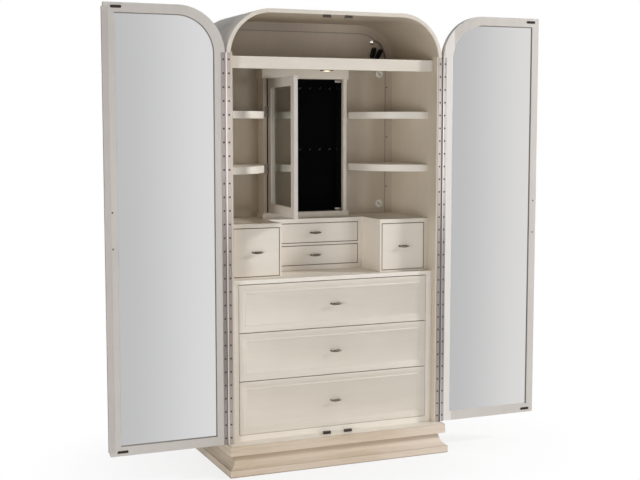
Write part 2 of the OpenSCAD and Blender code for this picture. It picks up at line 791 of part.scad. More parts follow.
// Drawer with its front's lower edge at z; the box runs on a surface at rail_z
module drawer(x, y, z, l, h, box_l, box_d, rail_z, panelled = false) translate([x, y, 0]) {
    translate([0, 0, z]) drawer_front(l, h, panelled);
    translate([0, front_t, rail_z + run_gap])
        drawer_box(box_l, z + h - box_top_gap - rail_z - run_gap, box_d);
}

module chest_drawer(z, h) color(cream) placed()
    drawer(0, chest_set, z, 2 * front_x, h, 2 * chest_box_x, chest_box_d, z - front_gap / 2 + dust_t / 2, true);
module chest_drawer_upper() chest_drawer(top_z, top_h);
module chest_drawer_middle() chest_drawer(mid_z, mid_h);
module chest_drawer_lower() chest_drawer(low_z, low_h);

// Spindle-shaped pull on two posts that stand on a front at the origin
module knob() {
    translate([0, -knob_reach, 0]) rotate([0, 90, 0]) rotate_extrude($fn = 32) polygon([
        [0, -knob_l / 2], [knob_end_d / 2 - knob_ease, -knob_l / 2], [knob_end_d / 2, knob_ease - knob_l / 2],
        [knob_d / 2, -knob_l / 6], [knob_d / 2, knob_l / 6], [knob_end_d / 2, knob_l / 2 - knob_ease],
        [knob_end_d / 2 - knob_ease, knob_l / 2], [0, knob_l / 2]]);
    for (s = [-1, 1]) translate([s * knob_posts / 2, 0, 0]) rotate([90, 0, 0])
        cylinder(d = knob_post_d, h = knob_reach, $fn = 24);
}
module knob_at(x, y, z, h) color(pewter) placed() translate([x, y, z + h / 2]) knob();
module pull_upper() knob_at(0, chest_set + recess, top_z, top_h);
module pull_middle() knob_at(0, chest_set + recess, mid_z, mid_h);
module pull_lower() knob_at(0, chest_set + recess, low_z, low_h);
module pull_centre_upper() knob_at(0, centre_set, centre_high_z, centre_front_h);
module pull_centre_lower() knob_at(0, centre_set, centre_low_z, centre_front_h);
module pull_left() knob_at(-side_front_x, side_set, side_front_z, side_front_h);
module pull_right() knob_at(side_front_x, side_set, side_front_z, side_front_h);

// Side boxes and centre box

module side_boxes() color(cream) placed() both_sides() difference() {
    block([side_in, side_set, chest_z], [room_half, room_back, side_top]);
    block([side_in + side_inner_t, side_set - 1, chest_z + side_floor],
        [room_half - side_outer_t, room_back - box_back, side_top - side_roof]);
}

module side_drawer(s) color(cream) placed() drawer(s * side_front_x, side_set, side_front_z, side_front_l,
    side_front_h, side_front_l - 2 * small_side_gap, side_box_d, chest_z + side_floor);
module side_drawer_left() side_drawer(-1);
module side_drawer_right() side_drawer(1);

module centre_box() color(cream) placed() difference() {
    block([-centre_half, centre_set, chest_z], [centre_half, room_back, centre_top]);
    for (z = [centre_low_z, centre_high_z])
        block([centre_stile - centre_half, centre_set - 1, z - inset_gap],
            [centre_half - centre_stile, room_back - box_back, z + centre_front_h + inset_gap]);
}

module centre_drawer(z) color(cream) placed() drawer(0, centre_set, z, centre_front_l, centre_front_h,
    centre_front_l - 2 * small_side_gap, centre_box_d, z - inset_gap);
module centre_drawer_upper() centre_drawer(centre_high_z);
module centre_drawer_lower() centre_drawer(centre_low_z);

// Corner shelves

module corner_shelf(z) {
    y = room_back - shelf_strip;
    difference() {
        translate([0, 0, z]) linear_extrude(shelf_t) polygon(concat(
            [for (i = [0:24]) [room_half - sweep_x * sin(90 * i / 24), y - sweep_y * cos(90 * i / 24)]],
            [[jewel_x + seat, y], [jewel_x + seat, room_back], [room_half, room_back]]));
        for (p = [hole_front, wall_back - hole_rear]) translate([room_half - shelf_pin_out, p, z - 1])
            translate([0, -shelf_pin_d / 2 - seat, 0])
                cube([shelf_pin_out + 1, shelf_pin_d + 2 * seat, pin_rise + shelf_pin_d / 2 + 1 + pin_roof]);
    }
}
module corner_shelves() color(cream) placed() both_sides() for (z = [low_shelf, high_shelf]) corner_shelf(z);

module shelf_pins() color(steel) placed() both_sides() for (i = [low_hole, high_hole])
    for (y = [hole_front, wall_back - hole_rear])
        translate([wall_x - shelf_pin_out + pin_start, y, hole_z + i * hole_pitch]) rotate([0, 90, 0])
            cylinder(d = shelf_pin_d, h = shelf_pin_out - pin_start + liner_t - pin_skin - seat, $fn = 32);

// Jewellery cabinet

module jewel_case() color(cream) placed() {
    both_sides() block([jewel_in, jewel_y, jewel_floor], [jewel_x, room_back, jewel_roof]);
    block([-jewel_x + jewel_t / 2, jewel_y + jewel_t, jewel_roof],
        [jewel_x - jewel_t / 2, room_back, jewel_roof + jewel_top_t]);
}

module jewel_trim() color(cream) placed() {
    x = jewel_x + jewel_proud;
    y = jewel_y - jewel_proud;
    block([-x, y, centre_top], [x, room_back, jewel_floor]);
    block([-x, y, jewel_roof], [x, jewel_y + jewel_t - seat, hat_under]);
    both_sides() block([jewel_x - jewel_t / 2 + seat, jewel_y + jewel_t, jewel_roof],
        [x, room_back, hat_under]);
}

module velvet_lining() color(black) placed() {
    slab(lining_y, room_back - lining_t) difference() {
        translate([-jewel_in, jewel_floor]) square([2 * jewel_in, jewel_roof - jewel_floor]);
        translate([lining_t - jewel_in, jewel_floor + lining_t])
            square([2 * (jewel_in - lining_t), jewel_roof - jewel_floor - 2 * lining_t]);
    }
    block([-jewel_in, room_back - lining_t, jewel_floor], [jewel_in, room_back, jewel_roof]);
}

// Hook with its plate on the lining
module hook() {
    rotate([90, 0, 0]) cylinder(d = hook_plate_d, h = hook_plate_t, $fn = 24);
    rotate([90, 0, 0]) cylinder(d = hook_d, h = hook_l, $fn = 24);
    translate([0, -hook_l, 0]) cylinder(d = hook_d, h = hook_tip, $fn = 24);
    translate([0, -hook_l, 0]) sphere(d = hook_d, $fn = 24);
    translate([0, -hook_l, hook_tip]) sphere(d = hook_ball_d, $fn = 24);
}
hook_zs = [jewel_roof - hook_high, jewel_roof - hook_high - hook_rows];
module jewel_hooks() color(steel) placed() for (z = hook_zs) {
    for (i = [0:hook_count - 1])
        translate([(i - (hook_count - 1) / 2) * hook_pitch, room_back - lining_t, z]) hook();
    translate([jewel_in - lining_t, lining_y + side_hook_in, z]) rotate([0, 0, -90]) hook();
}

jewel_axis = [jewel_axis_x, jewel_axis_y, 0];
jewel_third = (jewel_hinge_h - 2 * knuckle_end) / 3;
jewel_strip_t = 1.6;
// Knuckle of a cabinet hinge with a strip that joins it to a leaf on side s
module jewel_knuckle(s, z) translate([0, 0, z]) {
    difference() {
        cylinder(d = jewel_knuckle_d, h = jewel_third, $fn = 32);
        translate([0, 0, -1]) cylinder(r = jewel_pin_d / 2 + pin_play, h = jewel_third + 2, $fn = 32);
    }
    x = jewel_pin_d / 2 + pin_play + seat;
    translate([s > 0 ? x : -x - jewel_strip_t, seat, 0])
        cube([jewel_strip_t, jewel_axis_out - seat, jewel_third]);
}
module jewel_leaf(s, zs) {
    x = jewel_knuckle_d / 2 + leaf_clear;
    for (z = zs) jewel_knuckle(s, z);
    translate([s > 0 ? x : -jewel_leaf_w, jewel_axis_out - jewel_leaf_t, 0])
        cube([jewel_leaf_w - x, jewel_leaf_t, jewel_hinge_h]);
    for (z = zs) translate([s > 0 ? x - 1 : -x - eps, jewel_axis_out - jewel_leaf_t, z])
        cube([1 + eps, jewel_leaf_t, jewel_third]);
}
module jewel_folded() translate(jewel_axis) rotate([0, 0, -jewel_open]) translate(-jewel_axis) children();

module jewel_pane(inset, y0, y1) slab(y0, y1) translate([inset - jewel_door_x, jewel_door_z + inset])
    square([2 * (jewel_door_x - inset), jewel_door_top - jewel_door_z - 2 * inset]);

module jewel_door_frame() color(cream) placed() jewel_folded() difference() {
    jewel_pane(0, jewel_y, jewel_y + jewel_door_t);
    jewel_pane(jewel_stile, jewel_y - 1, jewel_y + jewel_door_t + 1);
    jewel_pane(jewel_stile - groove_in - seat, jewel_glass_y - seat / 2, jewel_glass_y + glass_t + seat / 2);
}
jewel_glass_y = jewel_y + (jewel_door_t - glass_t) / 2;
module jewel_door_glass() color(clear_glass) placed() jewel_folded()
    jewel_pane(jewel_stile - groove_in, jewel_glass_y, jewel_glass_y + glass_t);

module jewel_door_hinges() color(steel) placed() jewel_folded() for (z = jewel_hinge_zs)
    translate(jewel_axis + [0, 0, z - jewel_hinge_h / 2]) jewel_leaf(1, [jewel_third + knuckle_end]);

// Main doors

module right_outline(free, hinge, rail) door_outline(door_gap + free, door_edge - hinge, door_z + rail,
    case_h - rail, shoulder_r - (hinge + rail) / 2);

module pull_holes(d, y0, y1) for (s = [-1, 1])
    translate([door_gap + pull_edge, y0, pull_z + s * pull_screws / 2]) rotate([-90, 0, 0])
        cylinder(d = d, h = y1 - y0, $fn = 32);

mirror_y = door_face - mirror_set - mirror_t;
panel_y = mirror_y - seat / 2 - panel_t;

// Frame of the right door, closed, with the groove that holds mirror and panel
module door_frame() difference() {
    slab(door_out, door_face) right_outline(0, 0, 0);
    slab(door_out - 1, door_face + 1) right_outline(free_stile, hinge_stile, rail_w);
    slab(panel_y - seat / 2, mirror_y + mirror_t + seat / 2)
        right_outline(free_stile - groove_in - panel_play, hinge_stile - groove_in - panel_play,
            rail_w - groove_in - panel_play);
    pull_holes(pull_screw_d + 2 * seat, door_out - 1, door_face + 1);
    children();
}
module door_fill(y0, y1) slab(y0, y1) right_outline(free_stile - groove_in, hinge_stile - groove_in,
    rail_w - groove_in);

module right_door_frame() color(cream) placed() right_folded() door_frame()
    block([0, door_face - astragal_t - astragal_play, door_z - 1],
        [astragal_out - door_gap + astragal_play, door_face + 1, case_h + 1]);
module left_door_frame() color(cream) placed() left_folded() door_frame()
    block([0, door_face - astragal_t, door_z + astragal_end],
        [astragal_left, door_face + 1, case_h - astragal_end]);

module right_door_panel() color(cream) placed() right_folded() door_fill(panel_y, panel_y + panel_t);
module left_door_panel() color(cream) placed() left_folded() door_fill(panel_y, panel_y + panel_t);
module right_mirror() color(mirror_grey) placed() right_folded() door_fill(mirror_y, mirror_y + mirror_t);
module left_mirror() color(mirror_grey) placed() left_folded() door_fill(mirror_y, mirror_y + mirror_t);

module astragal() color(cream) placed() left_folded()
    block([door_gap - astragal_out, door_face - astragal_t, door_z + astragal_end],
        [astragal_left, door_face, case_h - astragal_end]);

module door_pull() {
    x = door_gap + pull_edge;
    y = door_out - pull_reach;
    translate([x, y, pull_z - pull_l / 2]) cylinder(d = pull_bar_d, h = pull_l);
    for (s = [-1, 1]) translate([x, y, pull_z + s * pull_screws / 2]) rotate([-90, 0, 0])
        cylinder(d = pull_post_d, h = pull_reach, $fn = 32);
    pull_holes(pull_screw_d, door_out, door_face);
    pull_holes(pull_head_d, door_face, door_face + pull_head_h);
}
module right_door_pull() color(pewter) placed() right_folded() door_pull();
module left_door_pull() color(pewter) placed() left_folded() door_pull();

// Piano hinges and strikes; leaves are drawn at the right, on the case side of the hinge plane

module leaf_screws(x, y) for (i = [0:knuckles - 1])
    translate([x, y, door_z + (2 * i + 1) * knuckle_pitch]) rotate([-90, 0, 0])
        cylinder(d = leaf_screw_d, h = leaf_screw_h, $fn = 24);

// Leaf with every second knuckle, beginning with number first
module piano_leaf(first) {
    difference() {
        block([half_w - leaf_w, leaf_gap, door_z], [hinge_x - leaf_edge, front_y, door_z + hinge_h]);
        translate([0, -2, 0]) for (i = [0:knuckles - 1])
            translate([screw_x, 0, door_z + (2 * i + 1) * knuckle_pitch]) rotate([-90, 0, 0])
                cylinder(d = leaf_screw_d + seat, h = leaf_t + 4, $fn = 24);
    }
    for (i = [0:knuckles - 1])
    translate([hinge_x, 0, door_z + (2 * i + first) * knuckle_pitch + knuckle_end / 2]) {
        difference() {
            cylinder(d = knuckle_d, h = knuckle_pitch - knuckle_end, $fn = 32);
            translate([0, 0, -1]) cylinder(r = pin_d / 2 + pin_play, h = knuckle_pitch + 1, $fn = 32);
        }
        translate([-leaf_edge - eps, leaf_gap, 0])
            cube([leaf_edge + eps - pin_d / 2 - pin_play - pin_wall, leaf_t, knuckle_pitch - knuckle_end]);
    }
}
// A door leaf is a case leaf turned over, so that it lies on the closed door's face
module door_leaf() mirror([0, 1, 0]) {
    piano_leaf(1);
    leaf_screws(screw_x, front_y - leaf_screw_h);
}
module strikes() for (z = [door_z + strike_edge, case_h - strike_edge - strike_h])
    block([catch_x - strike_w / 2, door_face, z], [catch_x + strike_w / 2, door_face + strike_t, z + strike_h]);

module case_hinge_leaves() color(steel) placed() {
    both_sides() piano_leaf(0);
    for (z = jewel_hinge_zs) translate(jewel_axis + [0, 0, z - jewel_hinge_h / 2])
        jewel_leaf(-1, [0, 2 * (jewel_third + knuckle_end)]);
}
module hinge_pins() color(steel) placed() {
    both_sides() translate([hinge_x, 0, door_z]) cylinder(d = pin_d, h = hinge_h, $fn = 32);
    for (z = jewel_hinge_zs) translate(jewel_axis + [0, 0, z - jewel_hinge_h / 2])
        cylinder(d = jewel_pin_d, h = jewel_hinge_h, $fn = 32);
}
module right_door_hardware() color(steel) placed() right_folded() {
    door_leaf();
    strikes();
}
module left_door_hardware() color(steel) placed() left_folded() {
    door_leaf();
    strikes();
}

module magnet_catches() color(cream) placed() {
    both_sides() for (z = [plinth_h, inner_top - catch_h])
        block([catch_x - catch_w / 2, front_y, z], [catch_x + catch_w / 2, front_y + catch_d, z + catch_h]);
    for (z = [jewel_floor + lining_t, jewel_roof - lining_t - small_catch_h])
        block([jewel_in - lining_t - small_catch_w, lining_y, z],
            [jewel_in - lining_t, lining_y + small_catch_d, z + small_catch_h]);
}

// Light's lead

module lead_clip() color([0.92, 0.91, 0.88]) placed() {
    p = lead_route[0];
    block([p[0] - clip_w, wall_back - clip_d, p[2] - clip_h / 2], [p[0], wall_back, p[2] + clip_h / 2]);
}
module light_lead() color(black) placed() tube(lead_route, lead_d / 2, 8);
module lead_hank() color(black) placed() tube(hank_route, lead_d / 2, 6);
module lead_plug() color(black) placed() translate([plug_x, hank_end_y, plug_z]) rotate([0, -90, 0]) {
    cylinder(d = plug_d, h = plug_l, $fn = 32);
    translate([0, 0, plug_l]) cylinder(d = plug_tip_d, h = plug_tip_l, $fn = 32);
}

case_shell();
side_liners();
back_frame();
back_panel();
case_floor();
plinth_frame();
plinth_fascia();
plinth_moulding();
hat_shelf();
puck_light();
puck_lens();
grommets();
chest_frame();
chest_top();
dust_boards();
side_boxes();
centre_box();
corner_shelves();
shelf_pins();
jewel_case();
jewel_trim();
velvet_lining();
jewel_hooks();
magnet_catches();
case_hinge_leaves();
hinge_pins();
case_screws();
chest_drawer_upper();
chest_drawer_middle();
chest_drawer_lower();
centre_drawer_upper();
centre_drawer_lower();
side_drawer_left();
side_drawer_right();
pull_upper();
pull_middle();
pull_lower();
pull_centre_upper();
pull_centre_lower();
pull_left();
pull_right();
left_door_frame();
left_door_panel();
left_mirror();
astragal();
left_door_hardware();
left_door_pull();
right_door_frame();
right_door_panel();
right_mirror();
right_door_hardware();
right_door_pull();
jewel_door_frame();
jewel_door_glass();
jewel_door_hinges();
lead_clip();
light_lead();
lead_hank();
lead_plug();
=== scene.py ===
import json
import math

import bmesh
import bpy
import numpy as np
from mathutils import Matrix, Vector

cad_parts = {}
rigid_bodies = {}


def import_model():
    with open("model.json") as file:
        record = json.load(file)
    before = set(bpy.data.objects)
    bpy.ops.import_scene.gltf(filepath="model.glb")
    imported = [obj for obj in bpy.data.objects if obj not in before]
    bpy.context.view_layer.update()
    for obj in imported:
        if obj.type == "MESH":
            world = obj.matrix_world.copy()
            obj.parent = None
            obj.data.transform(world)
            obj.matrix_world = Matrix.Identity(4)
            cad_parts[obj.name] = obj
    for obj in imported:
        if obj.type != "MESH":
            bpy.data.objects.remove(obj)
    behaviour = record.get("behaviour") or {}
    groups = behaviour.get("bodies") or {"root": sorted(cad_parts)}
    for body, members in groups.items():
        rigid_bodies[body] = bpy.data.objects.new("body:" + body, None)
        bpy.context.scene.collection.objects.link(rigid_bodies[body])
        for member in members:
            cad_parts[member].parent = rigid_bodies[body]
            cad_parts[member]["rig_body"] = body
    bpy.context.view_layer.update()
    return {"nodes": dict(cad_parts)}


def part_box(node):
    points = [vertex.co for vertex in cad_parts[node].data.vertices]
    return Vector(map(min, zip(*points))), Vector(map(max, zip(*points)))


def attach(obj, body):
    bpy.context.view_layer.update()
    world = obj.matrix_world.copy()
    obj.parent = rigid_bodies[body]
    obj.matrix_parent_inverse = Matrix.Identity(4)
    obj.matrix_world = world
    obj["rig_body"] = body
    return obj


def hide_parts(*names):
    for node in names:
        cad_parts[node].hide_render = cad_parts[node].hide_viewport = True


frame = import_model()

# The case's own frame, in millimetres, lies this far from the shared frame
CASE_SHIFT = np.array([4.75, -220.2, 0.0])


def placed(points):
    """Points of the case's own frame, in millimetres, as metres of the shared frame: the sum with the shift,
    over 1000."""
    return (np.asarray(points, float) + CASE_SHIFT) / 1000.0


def in_scene(name, data):
    """A new object of the scene, with this data."""
    made = bpy.data.objects.new(name, data)
    bpy.context.scene.collection.objects.link(made)
    return made


# Camera
PHOTO_WIDTH = 640
PHOTO_FOCAL = 1178.0
SENSOR_WIDTH = 36.0
CAMERA_PLACE = (-2.22505, -5.2802, 1.6136)
CAMERA_YAW = math.radians(22.88)
CAMERA_PITCH = math.radians(5.63)
NEAREST_SEEN, FARTHEST_SEEN = 0.1, 100.0


def set_camera():
    """The photograph's camera: it looks along (sin yaw cos pitch, cos yaw cos pitch, -sin pitch)."""
    lens = bpy.data.cameras.new("camera")
    lens.sensor_width = SENSOR_WIDTH
    lens.lens = PHOTO_FOCAL * SENSOR_WIDTH / PHOTO_WIDTH
    lens.clip_start, lens.clip_end = NEAREST_SEEN, FARTHEST_SEEN
    camera = in_scene("camera", lens)
    forward = Vector((math.sin(CAMERA_YAW) * math.cos(CAMERA_PITCH),
                      math.cos(CAMERA_YAW) * math.cos(CAMERA_PITCH), -math.sin(CAMERA_PITCH)))
    right = Vector((math.cos(CAMERA_YAW), -math.sin(CAMERA_YAW), 0.0))
    up = right.cross(forward)
    turn = Matrix((right, up, -forward)).transposed().to_4x4()
    camera.matrix_world = Matrix.Translation(CAMERA_PLACE) @ turn
    bpy.context.scene.camera = camera


set_camera()
bpy.context.scene.view_settings.view_transform = "Standard"


# Meshes from numpy arrays
MERGE_WITHIN, CREASE = 1e-6, 35.0


def cleaned(mesh, crease, merge=MERGE_WITHIN, flat=None):
    """Merges doubled points and, where a flat angle is given, faces that turn by less, and turns all faces
    outwards; edges over the crease angle stay crisp. Both angles are in degrees."""
    work = bmesh.new()
    work.from_mesh(mesh)
    bmesh.ops.remove_doubles(work, verts=work.verts, dist=merge)
    if flat:
        bmesh.ops.dissolve_limit(work, angle_limit=math.radians(flat), verts=work.verts, edges=work.edges)
    bmesh.ops.recalc_face_normals(work, faces=work.faces)
    work.to_mesh(mesh)
    work.free()
    mesh.polygons.foreach_set("use_smooth", np.ones(len(mesh.polygons), bool))
    mesh.set_sharp_from_angle(angle=math.radians(crease))


def new_mesh(name, points, faces, crease=CREASE):
    """A mesh object at the origin from an array of points and a list of faces."""
    mesh = bpy.data.meshes.new(name)
    mesh.from_pydata(np.asarray(points, float).tolist(), [], [list(map(int, f)) for f in faces])
    mesh.validate()
    made = in_scene(name, mesh)
    cleaned(mesh, crease)
    return made


def joined(shapes):
    """Several (points, faces) pairs as one pair: the points are stacked and each face's numbers move up."""
    points, faces, start = [], [], 0
    for p, f in shapes:
        points.append(p)
        faces += [[i + start for i in face] for face in f]
        start += len(p)
    return np.vstack(points), faces


def grid_faces(rows, columns, round_rows=False, round_columns=False):
    """The quads of a grid of rows times columns points; a round direction is joined end to start."""
    r = np.arange(rows if round_rows else rows - 1)
    c = np.arange(columns if round_columns else columns - 1)
    i, k = [a.ravel() for a in np.meshgrid(r, c, indexing="ij")]
    j, l = (i + 1) % rows, (k + 1) % columns
    return np.stack([i * columns + k, i * columns + l, j * columns + l, j * columns + k], 1).tolist()


def closed_rings(rings, both=True):
    """A skin over a stack of rings of points, closed by a flat face at its last ring, and at its first one
    too where that isn't a single point."""
    rings = np.asarray(rings, float)
    rows, columns = rings.shape[:2]
    faces = grid_faces(rows, columns, round_columns=True)
    if both:
        faces.append(list(range(columns)))
    return rings.reshape(-1, 3), faces + [list(range((rows - 1) * columns, rows * columns))]


STEEP = 0.9


def across(direction):
    """A direction as a unit vector, and two more that stand square on it and on each other."""
    d = np.asarray(direction, float) / np.linalg.norm(direction)
    guide = np.array([0.0, 0.0, 1.0]) if abs(d[2]) < STEEP else np.array([1.0, 0.0, 0.0])
    u = np.cross(guide, d)
    u /= np.linalg.norm(u)
    return d, u, np.cross(d, u)


def turned(profile, place, direction, sides=32):
    """A turned form: each (along, radius) pair of the profile is a ring, place + along * direction
    + radius * (cos a * u + sin a * v), with a going once round."""
    profile = np.asarray(profile, float)
    d, u, v = across(direction)
    a = np.linspace(0, 2 * np.pi, sides, endpoint=False)
    ring = np.cos(a)[:, None] * u + np.sin(a)[:, None] * v
    points = np.asarray(place, float) + profile[:, 0, None, None] * d + profile[:, 1, None, None] * ring
    return points.reshape(-1, 3), grid_faces(len(profile), sides, round_columns=True)


def headings(path, closed):
    """Unit tangent at each point of a path, the mean of the directions of the two stretches that meet there,
    and the direction of the stretch ahead."""
    if closed:
        ahead = np.roll(path, -1, 0) - path
    else:
        ahead = np.diff(path, axis=0)
        ahead = np.vstack([ahead, ahead[-1:]])
    ahead = ahead / np.linalg.norm(ahead, axis=1, keepdims=True)
    behind = np.roll(ahead, 1, 0)
    if not closed:
        behind[0] = ahead[0]
    mean = ahead + behind
    return mean / np.linalg.norm(mean, axis=1, keepdims=True), ahead


SHARPEST_MITRE = 0.3


def carried(path, profile, out):
    """A moulding: each (side, height) pair of the profile goes round a closed path as
    path + side * n / cos h + height * out, where n = out x tangent lies in the path's plane and h is half the
    corner's turn."""
    path, profile, out = (np.asarray(a, float) for a in (path, profile, out))
    tangent, ahead = headings(path, True)
    n = np.cross(out, tangent)
    stretch = 1.0 / np.clip(np.einsum("ij,ij->i", tangent, ahead), SHARPEST_MITRE, 1.0)
    points = (path[:, None] + profile[None, :, 0, None] * (n * stretch[:, None])[:, None]
              + profile[None, :, 1, None] * out)
    return points.reshape(-1, 3), grid_faces(len(path), len(profile), round_rows=True, round_columns=True)


def eased_points(path, steps):
    """A smooth path through the given points, by Catmull and Rom's rule: between p1 and p2 at share t it is
    (2 p1 + (p2 - p0) t + (2 p0 - 5 p1 + 4 p2 - p3) t^2 + (3 p1 - p0 - 3 p2 + p3) t^3) / 2."""
    p = np.asarray(path, float)
    p = np.vstack([2 * p[0] - p[1], p, 2 * p[-1] - p[-2]])
    t = (np.arange(steps) / steps)[None, :, None]
    a, b, c, d = (p[i:len(p) - 3 + i, None] for i in range(4))
    curve = (2 * b + (c - a) * t + (2 * a - 5 * b + 4 * c - d) * t ** 2
             + (3 * b - a - 3 * c + d) * t ** 3) / 2
    return np.vstack([curve.reshape(-1, 3), p[-2:-1]])


def tube(path, radius, sides=12):
    """A round tube: each point of the path gets a ring of the given radius, square to the path's heading;
    each end closes in a ring of no radius."""
    path = np.asarray(path, float)
    tangent = headings(path, False)[0]
    u = across(tangent[0])[1]
    rings = []
    for t in tangent:
        u = u - t * np.dot(u, t)
        u = u / np.linalg.norm(u)
        rings.append((u, np.cross(t, u)))
    u, v = np.array([r[0] for r in rings]), np.array([r[1] for r in rings])
    path, u, v = (np.concatenate([q[:1], q, q[-1:]]) for q in (path, u, v))
    size = np.concatenate([[0.0], np.full(len(tangent), float(radius)), [0.0]])
    a = np.linspace(0, 2 * np.pi, sides, endpoint=False)[None, :, None]
    points = path[:, None] + size[:, None, None] * (np.cos(a) * u[:, None] + np.sin(a) * v[:, None])
    return points.reshape(-1, 3), grid_faces(len(path), sides, round_columns=True)


# Shader sums

class Wire:
    """A shader socket that takes part in Python sums; each operator adds one Math node."""

    def __init__(self, nodes, socket):
        self.nodes, self.socket = nodes, socket

    def sum(self, operation, first, second):
        return self.nodes.node("ShaderNodeMath", {"operation": operation}, {0: first, 1: second})

    def __add__(self, other):
        return self.sum("ADD", self, other)

    def __sub__(self, other):
        return self.sum("SUBTRACT", self, other)

    def __rsub__(self, other):
        return self.sum("SUBTRACT", other, self)

    def __mul__(self, other):
        return self.sum("MULTIPLY", self, other)

    def __pow__(self, other):
        return self.sum("POWER", self, other)

    __radd__ = __add__
    __rmul__ = __mul__


class Nodes:
    """The nodes of a material or of the world."""

    def __init__(self, tree):
        self.tree = tree

    def node(self, kind, settings, inputs, out=0):
        """Adds a node: its settings first, then its sockets' values or links."""
        made = self.tree.nodes.new(kind)
        for key, value in settings.items():
            setattr(made, key, value)
        for key, value in inputs.items():
            self.feed(made.inputs[key], value)
        return Wire(self, made.outputs[out])

    def feed(self, socket, value):
        """Links a wire to a socket, or sets the socket's own value."""
        if isinstance(value, Wire):
            self.tree.links.new(value.socket, socket)
        else:
            socket.default_value = value


class Finish(Nodes):
    """A material round one Principled shader; constants are set on the shader's own sockets."""

    def __init__(self, name, **constants):
        self.material = bpy.data.materials.new(name)
        self.material.use_nodes = True
        super().__init__(self.material.node_tree)
        self.shader = self.tree.nodes["Principled BSDF"]
        self.set(**constants)
        self.place = self.node("ShaderNodeTexCoord", {}, {}, "Object")

    def set(self, **inputs):
        """Links or sets the shader's own sockets."""
        for key, value in inputs.items():
            self.feed(self.shader.inputs[key.replace("_", " ")], value)
        return self.material

    def coat(self, base, gloss, relief, **others):
        """The material from its base colour, an ease for its roughness and a bump for its relief."""
        return self.set(Base_Color=base, Roughness=self.ease(*gloss), Normal=self.bump(*relief), **others)

    def scaled(self, size, shift=(0, 0, 0)):
        """Object coordinates times a size, one number or three, plus a shift."""
        size = (size,) * 3 if np.isscalar(size) else size
        return self.node("ShaderNodeMapping", {}, {"Vector": self.place, "Scale": size, "Location": shift})

    def noise(self, size, detail=3.0, rough=0.5, bend=0.0, **more):
        """Cloudy values from 0 to 1, at a size per metre, the same all ways or in X, Y and Z."""
        return self.node("ShaderNodeTexNoise", {}, {"Vector": self.scaled(size, **more), "Scale": 1.0,
                                                    "Detail": detail, "Roughness": rough, "Distortion": bend})

    def ease(self, value, low, high, to_low=0.0, to_high=1.0):
        """A smooth step from low to high."""
        return self.node("ShaderNodeMapRange", {"interpolation_type": "SMOOTHSTEP"},
                         {"Value": value, "From Min": low, "From Max": high, "To Min": to_low,
                          "To Max": to_high})

    def fall(self, value, low, high, share=1.0):
        """A smooth step down, from a share at low to 0 at high."""
        return self.ease(value, low, high, share, 0.0)

    def mixed(self, first, second, share):
        """Two colours mixed by a share."""
        return self.node("ShaderNodeMix", {"data_type": "RGBA"}, {"Factor": share, 6: first, 7: second}, 2)

    def part(self, axis):
        """One coordinate of the object's place."""
        return self.node("ShaderNodeSeparateXYZ", {}, {0: self.place}, axis)

    def case_x(self):
        """The place's distance to the right of the case's middle."""
        return self.part("X") - float(CASE_SHIFT[0]) / 1000

    def unsigned(self, value):
        """A value without its sign."""
        return self.node("ShaderNodeMath", {"operation": "ABSOLUTE"}, {0: value})

    def larger(self, first, second):
        """The larger one of two values."""
        return self.node("ShaderNodeMath", {"operation": "MAXIMUM"}, {0: first, 1: second})

    def bump(self, height, distance, strength=1.0):
        """A bump of a height's full rise in metres."""
        return self.node("ShaderNodeBump", {}, {"Height": height, "Distance": distance, "Strength": strength})


CURVE_SHIFT, CURVE_POWER = 0.055, 2.4


def colour(red, green, blue):
    """A screen colour, each part from 0 to 255, as linear light: ((c + 0.055) / 1.055) ^ 2.4."""
    return (*(((c / 255 + CURVE_SHIFT) / (1 + CURVE_SHIFT)) ** CURVE_POWER for c in (red, green, blue)), 1.0)


def dimmed(tone, share):
    """A colour times a share of its light."""
    return (*(share * c for c in tone[:3]), 1.0)


# Lacquer, with its patterns' sizes per metre
PAINT_CLOUDS, ORANGE_PEEL, PORES_FINER = 2.1, 420, 3.1
# The last share dims the dark tone into painted shade where no deep colour is given
PORE_TONE, PORE_SHARE, PAINTED_SHADE_TONE = 0.86, 0.3, 0.3
UPRIGHT = (26, 26, 1.6)
LEVEL = (1.6, 26, 26)
CREAM = (234, 226, 214), (226, 217, 204)
# PALE is the cream made lighter, as painted light on the chest, the centre box and the corner shelves
PALE = (246, 240, 230), (240, 232, 221)


def painted(name, light, dark, grain, rough=0.42, depth=0.00012, painted_light_mask=None, deep=None):
    """Lacquer brushed over wood: cloudy tone, long brush strokes along the grain, pores and a faint orange
    peel; where the given mask function is 1, the paint takes the deep colour, or the dark tone dimmed,
    as painted light or shade."""
    f = Finish(name, Specular_IOR_Level=0.45)
    light, dark = colour(*light), colour(*dark)
    cloud = f.noise(PAINT_CLOUDS, 3, 0.55)
    strokes = f.noise(grain, 4, 0.62, 0.15)
    fine = f.noise(tuple(PORES_FINER * g for g in grain), 3, 0.6)
    peel = f.noise(ORANGE_PEEL, 1, 0.4)
    pores = f.ease(fine, 0.68, 0.8)
    base = f.mixed(dark, light, f.ease(cloud * 0.65 + strokes * 0.35, 0.3, 0.7))
    base = f.mixed(base, dimmed(dark, PORE_TONE), pores * PORE_SHARE)
    relief = strokes * 0.7 + fine * 0.35 + peel * 0.12 - pores * 0.5
    # Painted light or shade where the mask is 1
    if painted_light_mask:
        base = f.mixed(base, colour(*deep) if deep else dimmed(dark, PAINTED_SHADE_TONE), painted_light_mask(f))
    return f.coat(base, (strokes, 0.3, 0.7, rough - 0.06, rough + 0.08), (relief, depth))
